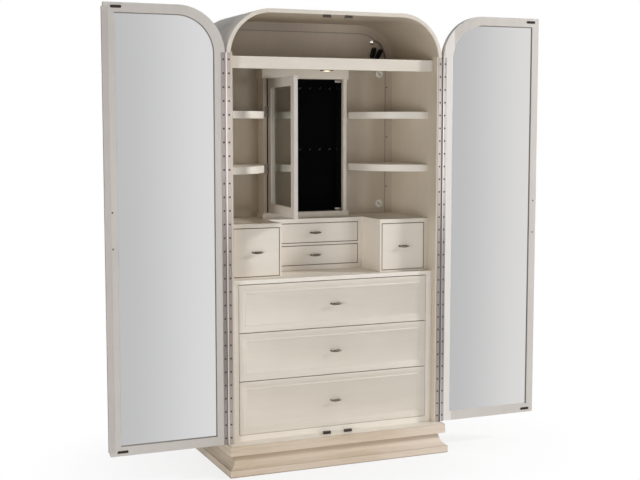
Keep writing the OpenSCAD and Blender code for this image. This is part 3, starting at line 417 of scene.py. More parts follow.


# Where painted shade and a painted highlight lie on the lacquer, in metres
GROOVE_X, GROOVE_TOP, GROOVE_ROUND, GROOVE_HALF = 0.4795, 2.0735, 0.1555, 0.0026
SHELL_HALF, SHELL_TOP, SHELL_ROUND, SHELL_FRONT = 0.537, 2.125, 0.207, -0.2182
INNER_SHADE_NEAR, INNER_SHADE_FULL = 0.002, 0.012
STILE_FROM, STILE_TO, STILE_FACE = 0.566, 0.612, -0.2160
STILE_EASE_LEFT, STILE_EASE_RIGHT = 0.004, 0.006
HAIR = 0.001
SMALL_FRONTS = ("centre_drawer_upper", "centre_drawer_lower", "side_drawer_left", "side_drawer_right")
GAP_HALF = 0.0030


def arch_distance(f, half, top, radius):
    """Distance outside an arched outline, or inside it below 0: the larger one of |x| - half and z - top
    beside its round corners, and the distance from the corner's circle in them."""
    over_x = f.larger(f.unsigned(f.case_x()) - (half - radius), 0.0)
    over_z = f.larger(f.part("Z") - (top - radius), 0.0)
    return (over_x * over_x + over_z * over_z) ** 0.5 - radius


def shell_inner_shade(f):
    """Painted shade inside the shell, in a darker, warmer tone: 1 inside the middle of its thickness and
    behind its front edge."""
    inside = f.fall(arch_distance(f, SHELL_HALF, SHELL_TOP, SHELL_ROUND), -HAIR, HAIR)
    return inside * f.ease(f.part("Y"), SHELL_FRONT + INNER_SHADE_NEAR, SHELL_FRONT + INNER_SHADE_FULL)


def groove_shade(f):
    """Painted shade in the back's groove: up to 0.6 where the distance from the groove's arched outline
    is small."""
    away = f.unsigned(arch_distance(f, GROOVE_X, GROOVE_TOP, GROOVE_ROUND))
    return f.fall(away, GROOVE_HALF * 0.4, GROOVE_HALF, 0.6)


def gap_shade(f):
    """Painted shade, in brown, in the gaps round the four small fronts: up to 0.8 where the distance from a
    front's outline, the larger one of |x - middle| - half width and |z - middle| - half height, is small."""
    shade = None
    for front in SMALL_FRONTS:
        low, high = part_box(front)
        reach = [f.unsigned(f.part(part) - (low[axis] + high[axis]) / 2) - (high[axis] - low[axis]) / 2
                 for axis, part in ((0, "X"), (2, "Z"))]
        line = f.fall(f.unsigned(f.larger(*reach)), GAP_HALF * 0.5, GAP_HALF, 0.8)
        shade = f.larger(shade, line) if shade else line
    return shade


def stile_highlight(f):
    """A painted highlight on the mirror side of the right door's hinge stile: 1 between the leaf and the
    bead.
    """
    x = f.case_x()
    past_leaf = f.ease(x, STILE_FROM - STILE_EASE_LEFT, STILE_FROM)
    before_bead = f.fall(x, STILE_TO, STILE_TO + STILE_EASE_RIGHT)
    return past_leaf * before_bead * f.fall(f.part("Y"), STILE_FACE, STILE_FACE + HAIR)


paint_upright = painted("cream_paint_upright", *CREAM, UPRIGHT)
paint_level = painted("cream_paint_level", *CREAM, LEVEL)
chest_paint = painted("cream_paint_chest", *PALE, LEVEL)
bead_shade_paint = painted("grey_bead_shade", (142, 136, 132), (120, 115, 111), UPRIGHT)
# Dark rims that paint the shade in the gaps round the drawer fronts and beside the astragal
rim_shade_paint = painted("brown_rim_shade", (128, 102, 80), (108, 85, 66), LEVEL)
wide_rim_shade_paint = painted("light_rim_shade", (192, 172, 152), (176, 156, 137), LEVEL)
# Painted brown shade in the gaps round the small fronts
in_gaps = {"painted_light_mask": gap_shade, "deep": (122, 98, 78)}
gap_upright = painted("cream_paint_boxes", *CREAM, UPRIGHT, **in_gaps)
gap_level = painted("cream_paint_small_fronts", *CREAM, LEVEL, **in_gaps)
centre_upright = painted("cream_paint_centre_box", *PALE, UPRIGHT, **in_gaps)
centre_level = painted("cream_paint_centre_fronts", *PALE, LEVEL, **in_gaps)
# The back and the liners are the cream made darker and warmer, as painted shade inside the case
back_paint = painted("shaded_back_paint", (211, 200, 185), (202, 190, 174), UPRIGHT, 0.5, 0.00008,
                     groove_shade)
liner_paint = painted("shaded_liner_paint", (221, 210, 193), (212, 200, 182), UPRIGHT)
# The shell's cream, darkened inside the arch as painted shade
shell_paint = painted("cream_paint_shell", *CREAM, UPRIGHT, painted_light_mask=shell_inner_shade, deep=(212, 200, 182))
# The doors' cream, with a painted highlight on the right door's hinge stile
door_paint = painted("cream_paint_doors", (213, 207, 202), (204, 198, 192), UPRIGHT,
                     painted_light_mask=stile_highlight, deep=(234, 229, 225))
cabinet_door_paint = painted("cream_paint_cabinet_door", (216, 210, 203), (207, 200, 192), UPRIGHT)
astragal_paint = painted("grey_paint_astragal", (204, 197, 193), (194, 187, 183), UPRIGHT)


# Plinth: heights in metres, then each darker line's height, half width, reach and share
PLINTH_LINE, COVE_DARK, COVE_FULL, COVE_TOP = 0.033, 0.060, 0.089, 0.095
PLINTH_LINES = ((0.0, 0.0012, 0.0052, 0.75), (PLINTH_LINE, 0.0008, 0.0024, 0.2))
PALE_END_FROM, PALE_END_TO = 0.1, 0.5


def brushed_base():
    """Cream glaze dragged sideways over tan wood: long level streaks in three tones, with a painted contact
    shadow at the foot, a darker line above the base band and painted shade under the cove's upper edge;
    paler towards the right."""
    f = Finish("brushed_tan_glaze", Specular_IOR_Level=0.4)
    long_streaks = f.noise((2.2, 2.2, 60), 5, 0.66, 0.25)
    short_streaks = f.noise((9, 9, 190), 4, 0.6, shift=(3.7, 1.9, 0.4))
    patches = f.noise(3.2, 2, 0.5, shift=(9.1, 4.2, 0))
    streaks = long_streaks * 0.6 + short_streaks * 0.4
    x, z = f.part("X"), f.part("Z")
    # Painted contact shadow at the foot, and a darker line at the top of the base band
    foot, band = (f.fall(f.unsigned(z - line_z), near, far, share)
                  for line_z, near, far, share in PLINTH_LINES)
    # Painted shade on the cove's upper part, under the fascia
    cove_shadow = f.ease(z, COVE_DARK, COVE_FULL, 0.0, 0.5) * f.fall(z, COVE_TOP, COVE_TOP + HAIR)
    base = f.mixed(colour(200, 180, 152), colour(224, 207, 186), f.ease(streaks, 0.3, 0.66))
    base = f.mixed(base, colour(230, 214, 198), f.ease(patches, 0.4, 0.75) * 0.5)
    base = f.mixed(base, colour(236, 222, 209), f.ease(x, PALE_END_FROM, PALE_END_TO, 0.0, 0.6))
    base = f.mixed(base, colour(232, 217, 202), f.fall(z, PLINTH_LINE, PLINTH_LINE + 2 * HAIR, 0.3))
    base = f.mixed(base, colour(160, 134, 104), cove_shadow)
    base = f.mixed(base, colour(112, 92, 74), foot + band)
    return f.coat(base, (short_streaks, 0.3, 0.7, 0.42, 0.58), (streaks, 0.0003, 0.7))


def bare_board():
    """Plain maple inside the drawers: growth rings bent by noise, with fine pores along the board."""
    f = Finish("drawer_board", Specular_IOR_Level=0.35)
    rings = f.node("ShaderNodeTexWave", {"wave_type": "BANDS", "bands_direction": "Z"},
                   {"Vector": f.scaled((1.2, 1.2, 1.0)), "Scale": 22.0, "Distortion": 5.0, "Detail": 3.0,
                    "Detail Scale": 0.6}, "Fac")
    pores = f.noise((9, 9, 260), 3, 0.6)
    base = f.mixed(colour(206, 186, 156), colour(186, 162, 128), rings * 0.45 + f.ease(pores, 0.5, 0.8) * 0.4)
    return f.coat(base, (pores, 0.3, 0.8, 0.5, 0.66), (pores, 0.0002, 0.6))


DRAWN_DEEP = 0.00005


def drawn_metal(name, light, dark, size, rough):
    """Metal with fine drawing lines along one direction and smudges that dull it."""
    f = Finish(name, Metallic=1.0)
    lines = f.noise(size, 3, 0.7)
    smudge = f.noise(14, 3, 0.6)
    base = f.mixed(colour(*dark), colour(*light), f.ease(lines * 0.6 + smudge * 0.4, 0.35, 0.65))
    gloss = (lines * 0.5 + smudge * 0.5, 0.3, 0.7, rough - 0.08, rough + 0.08)
    return f.coat(base, gloss, (lines, DRAWN_DEEP, 0.6))


# Hinge strips: places across from the case's middle, half widths and heights, in metres
SCREW_LOW, SCREW_PITCH, SCREW_RADIUS = 0.1415, 0.061724, 0.0050
CASE_SCREW_X, DOOR_SCREW_X = 0.537, 0.563
BARREL_X, BARREL_RADIUS, KNUCKLE_SHADE_PAST = 0.5500, 0.0035, 0.0012
GLINT_X, GLINT_HALF = 0.5560, 0.0020
SEAM_X, SEAM_HALF, SEAM_FADES, SEAM_GONE = 0.5545, 0.0018, 0.9, 1.2
BRIGHT_FROM, BRIGHT_FULL, BRIGHT_FADES, BRIGHT_TOP, TOP_SHARE = 0.95, 1.4, 1.66, 1.95, 0.5
FOOT_BRIGHT, FOOT_FADED, FOOT_SHARE = 0.2, 0.55, 0.6


def hinge_strip(name, screw_x, dark, light, dull):
    """Nickel hinge leaf, drawn along its length: countersunk screws stand at an even pitch, at
    (|x| - screw_x)^2 + (z mod pitch - pitch / 2)^2 < radius^2, their dark heads painted near black as the
    shade in their countersinks. The knuckles, at ||x| - barrel_x| < radius, get a painted highlight on the
    left and painted shade on the right, where a painted highlight runs beside them as a bright line; on the
    left a painted shadow line runs beside them in the lower part. The metal is brighter at about two thirds
    of its height; below and at the top it has dull times its tone."""
    f = Finish(name)
    lines = f.noise((900, 900, 12), 3, 0.7)
    smudge = f.noise(14, 3, 0.6)
    x, z = f.case_x(), f.part("Z")
    on_right = f.ease(x, -0.1, 0.1)
    x = f.unsigned(x)
    bright = (f.ease(z, BRIGHT_FROM, BRIGHT_FULL) * f.ease(z, BRIGHT_FADES, BRIGHT_TOP, 1.0, TOP_SHARE)
              + f.fall(z, FOOT_BRIGHT, FOOT_FADED, FOOT_SHARE))
    metal = f.mixed(colour(*dark), colour(*light), f.ease(lines * 0.6 + smudge * 0.4, 0.35, 0.65))
    metal = f.mixed(dimmed(colour(*dark), dull), metal, bright)
    # Painted highlight beside the right knuckles
    glint = f.fall(f.unsigned(x - GLINT_X), GLINT_HALF * 0.5, GLINT_HALF, 0.85)
    metal = f.mixed(metal, colour(254, 250, 247), glint * on_right * (bright * 0.7 + 0.3))
    # Painted highlight on the left knuckles and painted shade on the right ones, reaching a little past them
    barrel = f.unsigned(x - BARREL_X) - on_right * KNUCKLE_SHADE_PAST
    knuckle_light_and_shade = f.mixed(colour(196, 184, 178), colour(228, 217, 214), bright)
    knuckle_light_and_shade = f.mixed(knuckle_light_and_shade, colour(104, 96, 93), on_right)
    metal = f.mixed(metal, knuckle_light_and_shade, f.fall(barrel, BARREL_RADIUS * 0.85, BARREL_RADIUS * 1.05))
    # Painted shadow line in the gap beside the left knuckles, fading out upwards
    seam_shadow = (f.fall(f.unsigned(x - SEAM_X), SEAM_HALF * 0.6, SEAM_HALF, 0.8)
            * f.fall(z, SEAM_FADES, SEAM_GONE) * f.fall(on_right, 0.4, 0.6))
    metal = f.mixed(metal, colour(84, 76, 70), seam_shadow)
    # Screw heads painted near black, for the shade in their countersinks
    aside = x - screw_x
    along = f.node("ShaderNodeMath", {"operation": "MODULO"}, {0: z - SCREW_LOW, 1: SCREW_PITCH})
    along = along - SCREW_PITCH / 2
    screw = f.fall(aside * aside + along * along, SCREW_RADIUS ** 2 * 0.7, SCREW_RADIUS ** 2)
    base = f.mixed(metal, f.mixed(colour(24, 20, 18), colour(42, 36, 32), smudge), screw)
    return f.coat(base, (lines * 0.5 + smudge * 0.5, 0.3, 0.7, 0.42, 0.54), (lines, DRAWN_DEEP, 0.6),
                  Metallic=f.ease(screw, 0.0, 1.0, 0.55, 0.1))


def silvered(name, left, right, dark, light):
    """Silvered glass with a painted reflection: its tone runs from dark to light from left to right, with
    the faintest ripple of float glass.
    """
    f = Finish(name, Metallic=1.0, Specular_IOR_Level=0.5)
    ripple = f.noise(2.4, 2, 0.5)
    painted_reflection = f.ease(f.part("X"), left, right) + (ripple - 0.5) * 0.06
    base = f.mixed(colour(*dark), colour(*light), painted_reflection)
    return f.set(Base_Color=base, Roughness=f.ease(f.noise(9, 3, 0.6), 0.3, 0.8, 0.03, 0.06))


GLANCE_POWER, GLASS_LEAST = 2.6, 0.03


def clear_pane():
    """Clear glass: nearly nothing of it shows straight on, and towards a glancing look it mirrors more and
    more, by facing ^ 2.6, with a breath of dust."""
    f = Finish("cabinet_glass", Metallic=1.0)
    dust = f.noise(60, 4, 0.6)
    edge = f.node("ShaderNodeLayerWeight", {}, {"Blend": 0.5}, "Facing")
    return f.set(Base_Color=f.mixed(colour(236, 240, 236), colour(222, 226, 222), dust),
                 Roughness=f.ease(dust, 0.4, 0.9, 0.03, 0.09),
                 Alpha=edge ** GLANCE_POWER * 0.9 + dust * 0.02 + GLASS_LEAST)


def velvet():
    """Black pile: short tufts that catch light along their tips, with brushed patches."""
    f = Finish("black_velvet", Sheen_Weight=0.03, Sheen_Roughness=0.5, Sheen_Tint=(0.6, 0.62, 0.7, 1.0),
               Specular_IOR_Level=0.05)
    tufts = f.noise(1900, 2, 0.7)
    patches = f.noise((11, 11, 7), 3, 0.6, 0.6)
    base = f.mixed((0.0006, 0.0006, 0.0007, 1), (0.0028, 0.0028, 0.0032, 1), tufts * 0.6 + patches * 0.4)
    return f.coat(base, (patches, 0.2, 0.8, 0.85, 1.0), (tufts, 0.0006, 0.8))


def moulded(name, light, dark, rough=0.45, index=1.5, metal=0.0):
    """Moulded plastic: an even tone with slight clouding and a fine spark-eroded texture."""
    f = Finish(name, Specular_IOR_Level=0.5, IOR=index, Metallic=metal)
    texture = f.noise(900, 2, 0.6)
    cloud = f.noise(30, 2, 0.5)
    base = f.mixed(dark, light, cloud * 0.6 + texture * 0.4)
    return f.coat(base, (texture, 0.2, 0.8, rough - 0.07, rough + 0.07), (texture, 0.00006, 0.7))


# The puck light's middle, in millimetres of the case's own frame, and how far its glow reaches, in metres
PUCK = (0.0, 140.0, 1896.0)
GLOW_INNER, GLOW_OUTER = 0.009, 0.018


def glowing_lens():
    """Frosted lens lit from behind: warm and bright in its middle, dim at its rim, with a fine frost."""
    f = Finish("lit_lens", Emission_Strength=5.5)
    frost = f.noise(700, 2, 0.6)
    middle = placed(PUCK)
    x, y = f.part("X") - float(middle[0]), f.part("Y") - float(middle[1])
    spread = f.fall(x * x + y * y, GLOW_INNER ** 2, GLOW_OUTER ** 2)
    glow = f.mixed(colour(70, 52, 34), colour(255, 234, 200), spread)
    return f.coat(colour(250, 240, 222), (frost, 0.3, 0.7, 0.4, 0.6), (frost, 0.00004, 0.5),
                  Emission_Color=glow)


def soft_rubber():
    """Black lead insulation: matt, with fine drawing marks and dust that lightens it a little."""
    f = Finish("black_lead", Specular_IOR_Level=0.4)
    marks = f.noise(500, 3, 0.6)
    dust = f.noise(40, 3, 0.6)
    base = f.mixed((0.010, 0.009, 0.008, 1), (0.03, 0.028, 0.025, 1), f.ease(dust, 0.4, 0.8))
    return f.coat(base, (marks, 0.2, 0.8, 0.42, 0.6), (marks, 0.00005, 0.6))


def woven_strap():
    """Black hook-and-loop strap: crossing ribs with fuzzy loops between them."""
    f = Finish("black_strap", Specular_IOR_Level=0.2, Sheen_Weight=0.05)
    fuzz = f.noise(1500, 3, 0.7)
    ribs = f.node("ShaderNodeTexWave", {"wave_type": "BANDS", "bands_direction": "Z"},
                  {"Vector": f.place, "Scale": 260.0, "Distortion": 1.2, "Detail": 2.0}, "Fac")
    pile_height = fuzz * 0.6 + ribs * 0.4
    base = f.mixed((0.004, 0.004, 0.004, 1), (0.016, 0.015, 0.014, 1), pile_height)
    return f.coat(base, (fuzz, 0.2, 0.8, 0.8, 0.98), (pile_height, 0.0004, 0.8))


tan_glaze = brushed_base()
board = bare_board()
# The three leaves are one nickel, given different tones and dulling as painted light and shade on each
case_hinge_metal = hinge_strip("nickel_case_hinge_strip", CASE_SCREW_X, (174, 163, 159),
                               (196, 185, 181), 0.62)
left_hinge_metal = hinge_strip("nickel_left_hinge_strip", DOOR_SCREW_X, (144, 136, 131),
                               (168, 160, 155), 0.74)
right_hinge_metal = hinge_strip("nickel_right_hinge_strip", DOOR_SCREW_X, (172, 166, 162),
                                (196, 189, 184), 0.56)
strike_metal = drawn_metal("dark_strikes", (70, 62, 56), (44, 38, 34), 500, 0.38)
pin_metal = drawn_metal("nickel_pins", (190, 184, 180), (158, 152, 148), 700, 0.3)
butt_metal = drawn_metal("dull_butt_hinges", (140, 134, 130), (110, 105, 101), 700, 0.4)
hook_metal = drawn_metal("dark_hooks", (66, 66, 72), (38, 38, 42), 600, 0.3)
screw_metal = drawn_metal("dark_screws", (92, 84, 78), (58, 52, 48), 900, 0.36)
pewter = drawn_metal("dark_pewter", (122, 112, 100), (78, 70, 62), (14, 420, 420), 0.33)
pewter_upright = drawn_metal("dark_pewter_upright", (122, 112, 100), (78, 70, 62), (420, 420, 14),
                             0.33)
left_silver = silvered("left_mirror_silver", -1.058, -0.591, (190, 190, 191), (217, 217, 217))
right_silver = silvered("right_mirror_silver", 0.601, 1.067, (189, 189, 190), (218, 217, 216))
glass = clear_pane()
pile = velvet()
pearl_plastic = moulded("pearl_moulding", colour(254, 253, 250), colour(250, 248, 244), 0.2, metal=0.9)
black_plastic = moulded("black_moulding", (0.02, 0.02, 0.02, 1), (0.008, 0.008, 0.008, 1), 0.35)
catch_plastic = moulded("catch_moulding", colour(90, 77, 67), colour(70, 59, 51), 0.4)
bronzed = moulded("bronzed_ring", colour(96, 80, 62), colour(76, 62, 48), 0.4, metal=0.4)
pale_plastic = moulded("pale_moulding", colour(212, 205, 196), colour(196, 188, 178), 0.42)
cap_plastic = moulded("cable_cap_moulding", colour(254, 253, 249), colour(251, 249, 244), 0.22, index=2.2)
lens_finish = glowing_lens()
rubber = soft_rubber()
strap_weave = woven_strap()


NODE_FINISH = {
    liner_paint: ["side_liners"],
    door_paint: ["left_door_panel", "right_door_panel"],
    chest_paint: ["case_floor"],
    back_paint: ["back_frame", "back_panel"],
    tan_glaze: ["plinth_frame", "plinth_moulding"],
    board: ["dust_boards"],
    case_hinge_metal: ["case_hinge_leaves"],
    left_hinge_metal: ["left_door_hardware"],
    right_hinge_metal: ["right_door_hardware"],
    pin_metal: ["hinge_pins", "shelf_pins", "puck_light"],
    butt_metal: ["jewel_door_hinges"],
    hook_metal: ["jewel_hooks"],
    screw_metal: ["case_screws"],
    pewter: ["pull_upper", "pull_middle", "pull_lower", "pull_centre_upper", "pull_centre_lower", "pull_left",
             "pull_right"],
    pewter_upright: ["left_door_pull", "right_door_pull"],
    left_silver: ["left_mirror"],
    right_silver: ["right_mirror"],
    glass: ["jewel_door_glass"],
    pile: ["velvet_lining"],
    pearl_plastic: ["lead_clip"],
    black_plastic: ["lead_plug", "light_lead", "lead_hank"],
    catch_plastic: ["magnet_catches"],
    cap_plastic: ["grommets"],
    lens_finish: ["puck_lens"],
}
for material, names in NODE_FINISH.items():
    for node_name in names:
        for place in frame["nodes"][node_name].material_slots:
            place.material = material


def dressed(made, material, body, slot, *nodes):
    """Gives a piece its finish and its body, and hides the nodes that it stands for; the slot is not used."""
    made.data.materials.clear()
    made.data.materials.append(material)
    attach(made, body)
    if nodes:
        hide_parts(*nodes)
    return made


def piece(name, shapes, material, body, slot, *nodes, crease=CREASE):
    """One mesh object from shapes given in millimetres of the case's own frame."""
    points, faces = joined(shapes)
    return dressed(new_mesh(name, placed(points), faces, crease), material, body, slot, *nodes)


# Small shapes
END_FROM_RIM = 4
CORNER_SIGNS = [[1, 1], [-1, 1], [-1, -1], [1, -1]]


def block(low, high, ease, axis=1, steps=3):
    """A board with eased edges along an axis: its outline is a rectangle with round corners, and near each
    end it steps in as ease * (1 - sin a) while it advances by ease * (1 - cos a), with a from 0 to a quarter
    turn."""
    low, high = np.minimum(low, high).astype(float), np.maximum(low, high).astype(float)
    first, second = [i for i in range(3) if i != axis]
    a = np.linspace(0, np.pi / 2, steps + 1)
    end = [ease * END_FROM_RIM]
    inset = np.concatenate([end, ease * (1 - np.sin(a)), ease * (1 - np.sin(a[::-1])), end])
    along = np.concatenate([[low[axis]], low[axis] + ease * (1 - np.cos(a)),
                            high[axis] - ease * (1 - np.cos(a[::-1])), [high[axis]]])
    middle = (low + high) / 2
    half = (high - low) / 2 - ease
    corner = np.concatenate([a + q * np.pi / 2 for q in range(4)])
    sign = np.repeat(CORNER_SIGNS, steps + 1, axis=0)
    rings = np.zeros((len(inset), len(corner), 3))
    for ring, step_in, place in zip(rings, inset, along):
        r = max(ease - step_in, 0.0)
        h = np.array([half[first], half[second]]) - max(step_in - ease, 0.0)
        ring[:, first] = middle[first] + sign[:, 0] * h[0] + r * np.cos(corner)
        ring[:, second] = middle[second] + sign[:, 1] * h[1] + r * np.sin(corner)
        ring[:, axis] = place
    return closed_rings(rings)


# Cross recess of a screw, as shares of the head's radius, the slope of its sides as a share of an arm's half
# width, and its depth as a share of the head's height
ARM_HALF, ARM_SIDE, ARM_REACH, ARM_END, CROSS_DEEP = 0.15, 0.4, 0.62, 0.12, 0.8
DOME_POWER, SKIRT = 2.6, 0.6


def screw_head(place, out, radius=4.0, height=1.2, rings=9, sides=32):
    """A domed head with a cross recess: height * (1 - (r / radius)^2.6) over each point of a polar grid, less
    0.8 * height where the point lies in either arm of the cross."""
    d, u, v = across(out)
    r = radius * np.linspace(0, 1, rings)[1:, None]
    a = np.linspace(0, 2 * np.pi, sides, endpoint=False)[None]
    x, y = r * np.cos(a), r * np.sin(a)
    arm = ARM_HALF * radius
    reach = np.clip((ARM_REACH * radius - r) / (ARM_END * radius), 0, 1)
    in_arm = [np.clip((arm - abs(q)) / (ARM_SIDE * arm), 0, 1) for q in (x, y)]
    rise = height * (1 - (r / radius) ** DOME_POWER) - CROSS_DEEP * height * reach * np.maximum(*in_arm)
    top = np.asarray(place, float) + x[..., None] * u + y[..., None] * v + rise[..., None] * d
    skirt = top[-1:] - SKIRT * d
    centre = np.broadcast_to(np.asarray(place, float) + (1 - CROSS_DEEP) * height * d, (1, sides, 3))
    return closed_rings(np.concatenate([centre, top, skirt]), both=False)


LOZENGE_POWER, LOZENGE_FLAT, TIP_ROUND = 0.85, 0.82, 0.75


def spindle(place, along, length, thick, tip):
    """A lozenge bar: at s from its middle its half thickness is
    tip + (thick - tip) * cos(pi s / length)^0.85, and its depth is 0.82 of that; both tips are rounded."""
    s = length / 2 * np.sin(np.linspace(-np.pi / 2, np.pi / 2, 31))
    r = tip + (thick - tip) * np.clip(np.cos(np.pi * s / length), 0, 1) ** LOZENGE_POWER
    r[0] = r[-1] = 0.0
    r[1], r[-2] = TIP_ROUND * r[1], TIP_ROUND * r[-2]
    points, faces = turned(np.stack([s, r], 1), np.zeros(3), along, 32)
    points[:, 1] *= LOZENGE_FLAT
    return points + np.asarray(place, float), faces


HEAD_WIDER, NECK_SWELL = 1.15, 0.55


def post(foot, head, waist, collar):
    """A turned post from its foot on a face to the bar: a flared rosette, a step, a concave neck whose radius
    is waist + (collar - waist) * 0.55 * (2 t - 1)^2, and a collar."""
    foot, head = np.asarray(foot, float), np.asarray(head, float)
    length = float(np.linalg.norm(head - foot))
    t = np.linspace(0, 1, 9)
    top = waist * HEAD_WIDER
    neck = waist + (collar - waist) * NECK_SWELL * (2 * t - 1) ** 2
    profile = [(0.0, 0.0), (0.0, collar), (0.7, collar), (1.1, collar * 0.94), (1.5, collar * 0.78),
               (1.9, collar * 0.76)]
    profile += list(zip(2.1 + t * (length - 2.6), np.where(t < 0.5, neck, np.minimum(neck, top))))
    return turned(np.array(profile + [(length, top), (length, 0.0)]), foot, head - foot, 24)


SIDES = {-1: "left", 1: "right"}

# Handles, in millimetres
PULL_HALF, PULL_THICK, PULL_TIP = 28.0, 6.0, 1.4
PULL_POST, PULL_PANEL, PULL_NECK, PULL_COLLAR = 20.0, 17.0, 2.1, 4.6
PULLS = {"pull_upper": "drawer_upper", "pull_middle": "drawer_middle", "pull_lower": "drawer_lower",
         "pull_centre_upper": "small_drawer_upper", "pull_centre_lower": "small_drawer_lower",
         "pull_left": "side_drawer_l", "pull_right": "side_drawer_r"}


def drawer_pull(node, body):
    """A dark lozenge bar on two turned posts, where the CAD bar's box lies."""
    low, high = (np.array(c) * 1000 - CASE_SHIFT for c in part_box(node))
    axis = np.array([(low[0] + high[0]) / 2, low[1] + PULL_THICK, (low[2] + high[2]) / 2])
    shapes = [spindle(axis, (1, 0, 0), 2 * PULL_HALF, PULL_THICK, PULL_TIP)]
    for aside in (-PULL_POST, PULL_POST):
        head = axis + [aside, 1.0, 0]
        shapes.append(post([head[0], axis[1] + PULL_PANEL, head[2]], head, PULL_NECK, PULL_COLLAR))
    piece(node + "_lozenge", shapes, pewter, body, "dark_pewter", node)


for pull_node, pull_body in PULLS.items():
    drawer_pull(pull_node, pull_body)

DOOR_PULL_X, DOOR_PULL_Y, DOOR_PULL_Z, DOOR_POST_HALF = 1074.0, 57.6, 1148.0, 80.0
DOOR_BACK, DOOR_FRONT, DOOR_NECK, DOOR_COLLAR = 29.6, 1.6, 4.4, 8.6
BAR_END = np.array([[91, 6.0], [91.4, 5.3], [92.6, 5.3], [93, 6.0], [96, 5.9], [98.6, 5.0], [99.6, 3.4],
                    [100, 0.0]])


def door_pull(side, body):
    """A slim turned bar with eased ends and two collars, on posts; its screws show on the mirror side."""
    x = side * DOOR_PULL_X
    bar = np.vstack([BAR_END[::-1] * [-1, 1], BAR_END])
    shapes = [turned(bar, [x, DOOR_PULL_Y, DOOR_PULL_Z], (0, 0, 1), 40)]
    screws = []
    for z in (DOOR_PULL_Z - DOOR_POST_HALF, DOOR_PULL_Z + DOOR_POST_HALF):
        shapes.append(post([x, DOOR_BACK, z], [x, DOOR_PULL_Y - 2.0, z], DOOR_NECK, DOOR_COLLAR))
        screws.append(screw_head([x, DOOR_FRONT, z], (0, -1, 0)))
    name = body + "_pull"
    piece(name + "_bar", shapes, pewter_upright, body, "dark_pewter", name)
    piece(name + "_screws", screws, screw_metal, body, "dark_pewter", crease=50)


# Mirrors
MIRROR_FACE = 7.6
MIRROR_OUT, MIRROR_IN, MIRROR_LOW, MIRROR_TOP = 1054.5, 604.0, 183.5, 2092.0
MIRROR_ROUND = 170.0
BEAD_SHADE = np.array([-0.8, 0.0, -0.6])


def mirror_bead(side, body):
    """A thin upright bead with a round nose all round the mirror; its top corner by the hinge is an arc. The
    stretches on the right and at the top, and the left door's lower one, get a grey paint as painted shade."""
    a = np.linspace(0, np.pi / 2, 25)
    centre = np.array([MIRROR_IN + MIRROR_ROUND, MIRROR_TOP - MIRROR_ROUND])
    arc = np.stack([centre[0] - MIRROR_ROUND * np.cos(a), centre[1] + MIRROR_ROUND * np.sin(a)], 1)
    flat = np.vstack([[[MIRROR_OUT, MIRROR_LOW], [MIRROR_IN, MIRROR_LOW]], arc, [[MIRROR_OUT, MIRROR_TOP]]])
    path = np.stack([side * flat[:, 0], np.full(len(flat), MIRROR_FACE), flat[:, 1]], 1)
    b = np.linspace(0, np.pi / 2, 5)
    nose = np.stack([1.0 + 1.4 * np.sin(b), 4.0 + 1.4 * np.cos(b)], 1)
    profile = np.concatenate([[[0.0, 0.0], [0.0, 5.4]], nose, [[2.4, 0.9], [4.4, 0.7], [4.4, 0.0]]])
    profile[:, 0] *= -side
    made = piece(SIDES[side] + "_mirror_bead", [carried(path, profile, (0, -1, 0))], door_paint, body,
                 "cream_paint")
    made.data.materials.append(bead_shade_paint)
    inward = np.cross([0, -1, 0], np.roll(path, -1, 0) - path) * -side
    inward /= np.linalg.norm(inward, axis=1, keepdims=True)
    shaded = (inward @ BEAD_SHADE > 0.5) | ((side < 0) & (inward[:, 2] > 0.9))
    for face in made.data.polygons:
        face.material_index = int(shaded[face.index // len(profile)])


# Strike plates on the mirror side of the doors
STRIKE_X, STRIKE_ZS = 1045.0, (160.0, 2115.5)
STRIKE_LONG, STRIKE_HIGH = 50.0, 12.4
STRIKE_FACE, STRIKE_BACK = 0.35, 1.6
STRIKE_EDGE = ((0.0, STRIKE_BACK), (0.0, STRIKE_FACE + 0.5), (0.3, STRIKE_FACE + 0.1), (0.9, STRIKE_FACE))


def strike_plates(side, body):
    """Two dark plates with round ends: each outline is two half circles and two straights, in rings that
    round the face's edge, with a small screw at both ends."""
    shapes = []
    turn = np.linspace(-np.pi / 2, np.pi / 2, 13)
    r = STRIKE_HIGH / 2
    reach = STRIKE_LONG / 2 - r
    for z in STRIKE_ZS:
        rings = []
        for inset, y in STRIKE_EDGE:
            end = np.stack([reach + (r - inset) * np.cos(turn), (r - inset) * np.sin(turn)], 1)
            flat = np.vstack([end, -end])
            rings.append(np.stack([side * STRIKE_X + flat[:, 0], np.full(len(flat), y), z + flat[:, 1]], 1))
        shapes.append(closed_rings(rings))
        for end_x in (-reach, reach):
            place = [side * STRIKE_X + end_x, STRIKE_FACE + 0.75, z]
            shapes.append(screw_head(place, (0, -1, 0), radius=2.6, height=0.75, rings=7, sides=20))
    piece(SIDES[side] + "_strike_plates", shapes, strike_metal, body, "hinge_steel")


for fit_to_door in (door_pull, mirror_bead, strike_plates):
    for door_side, side_name in SIDES.items():
        fit_to_door(door_side, side_name + "_door")

# Beads inside the recess of the three wide fronts: name, lower edge and height of each front
BEAD_X, BEAD_Y, BEAD_IN, BEAD_WIDE, BEAD_RISE = 452.8, 40.0, 32.0, 7.0, 1.3
WIDE_FRONTS = (("lower", 168.5, 250.0), ("middle", 421.5, 225.0), ("upper", 649.5, 223.0))


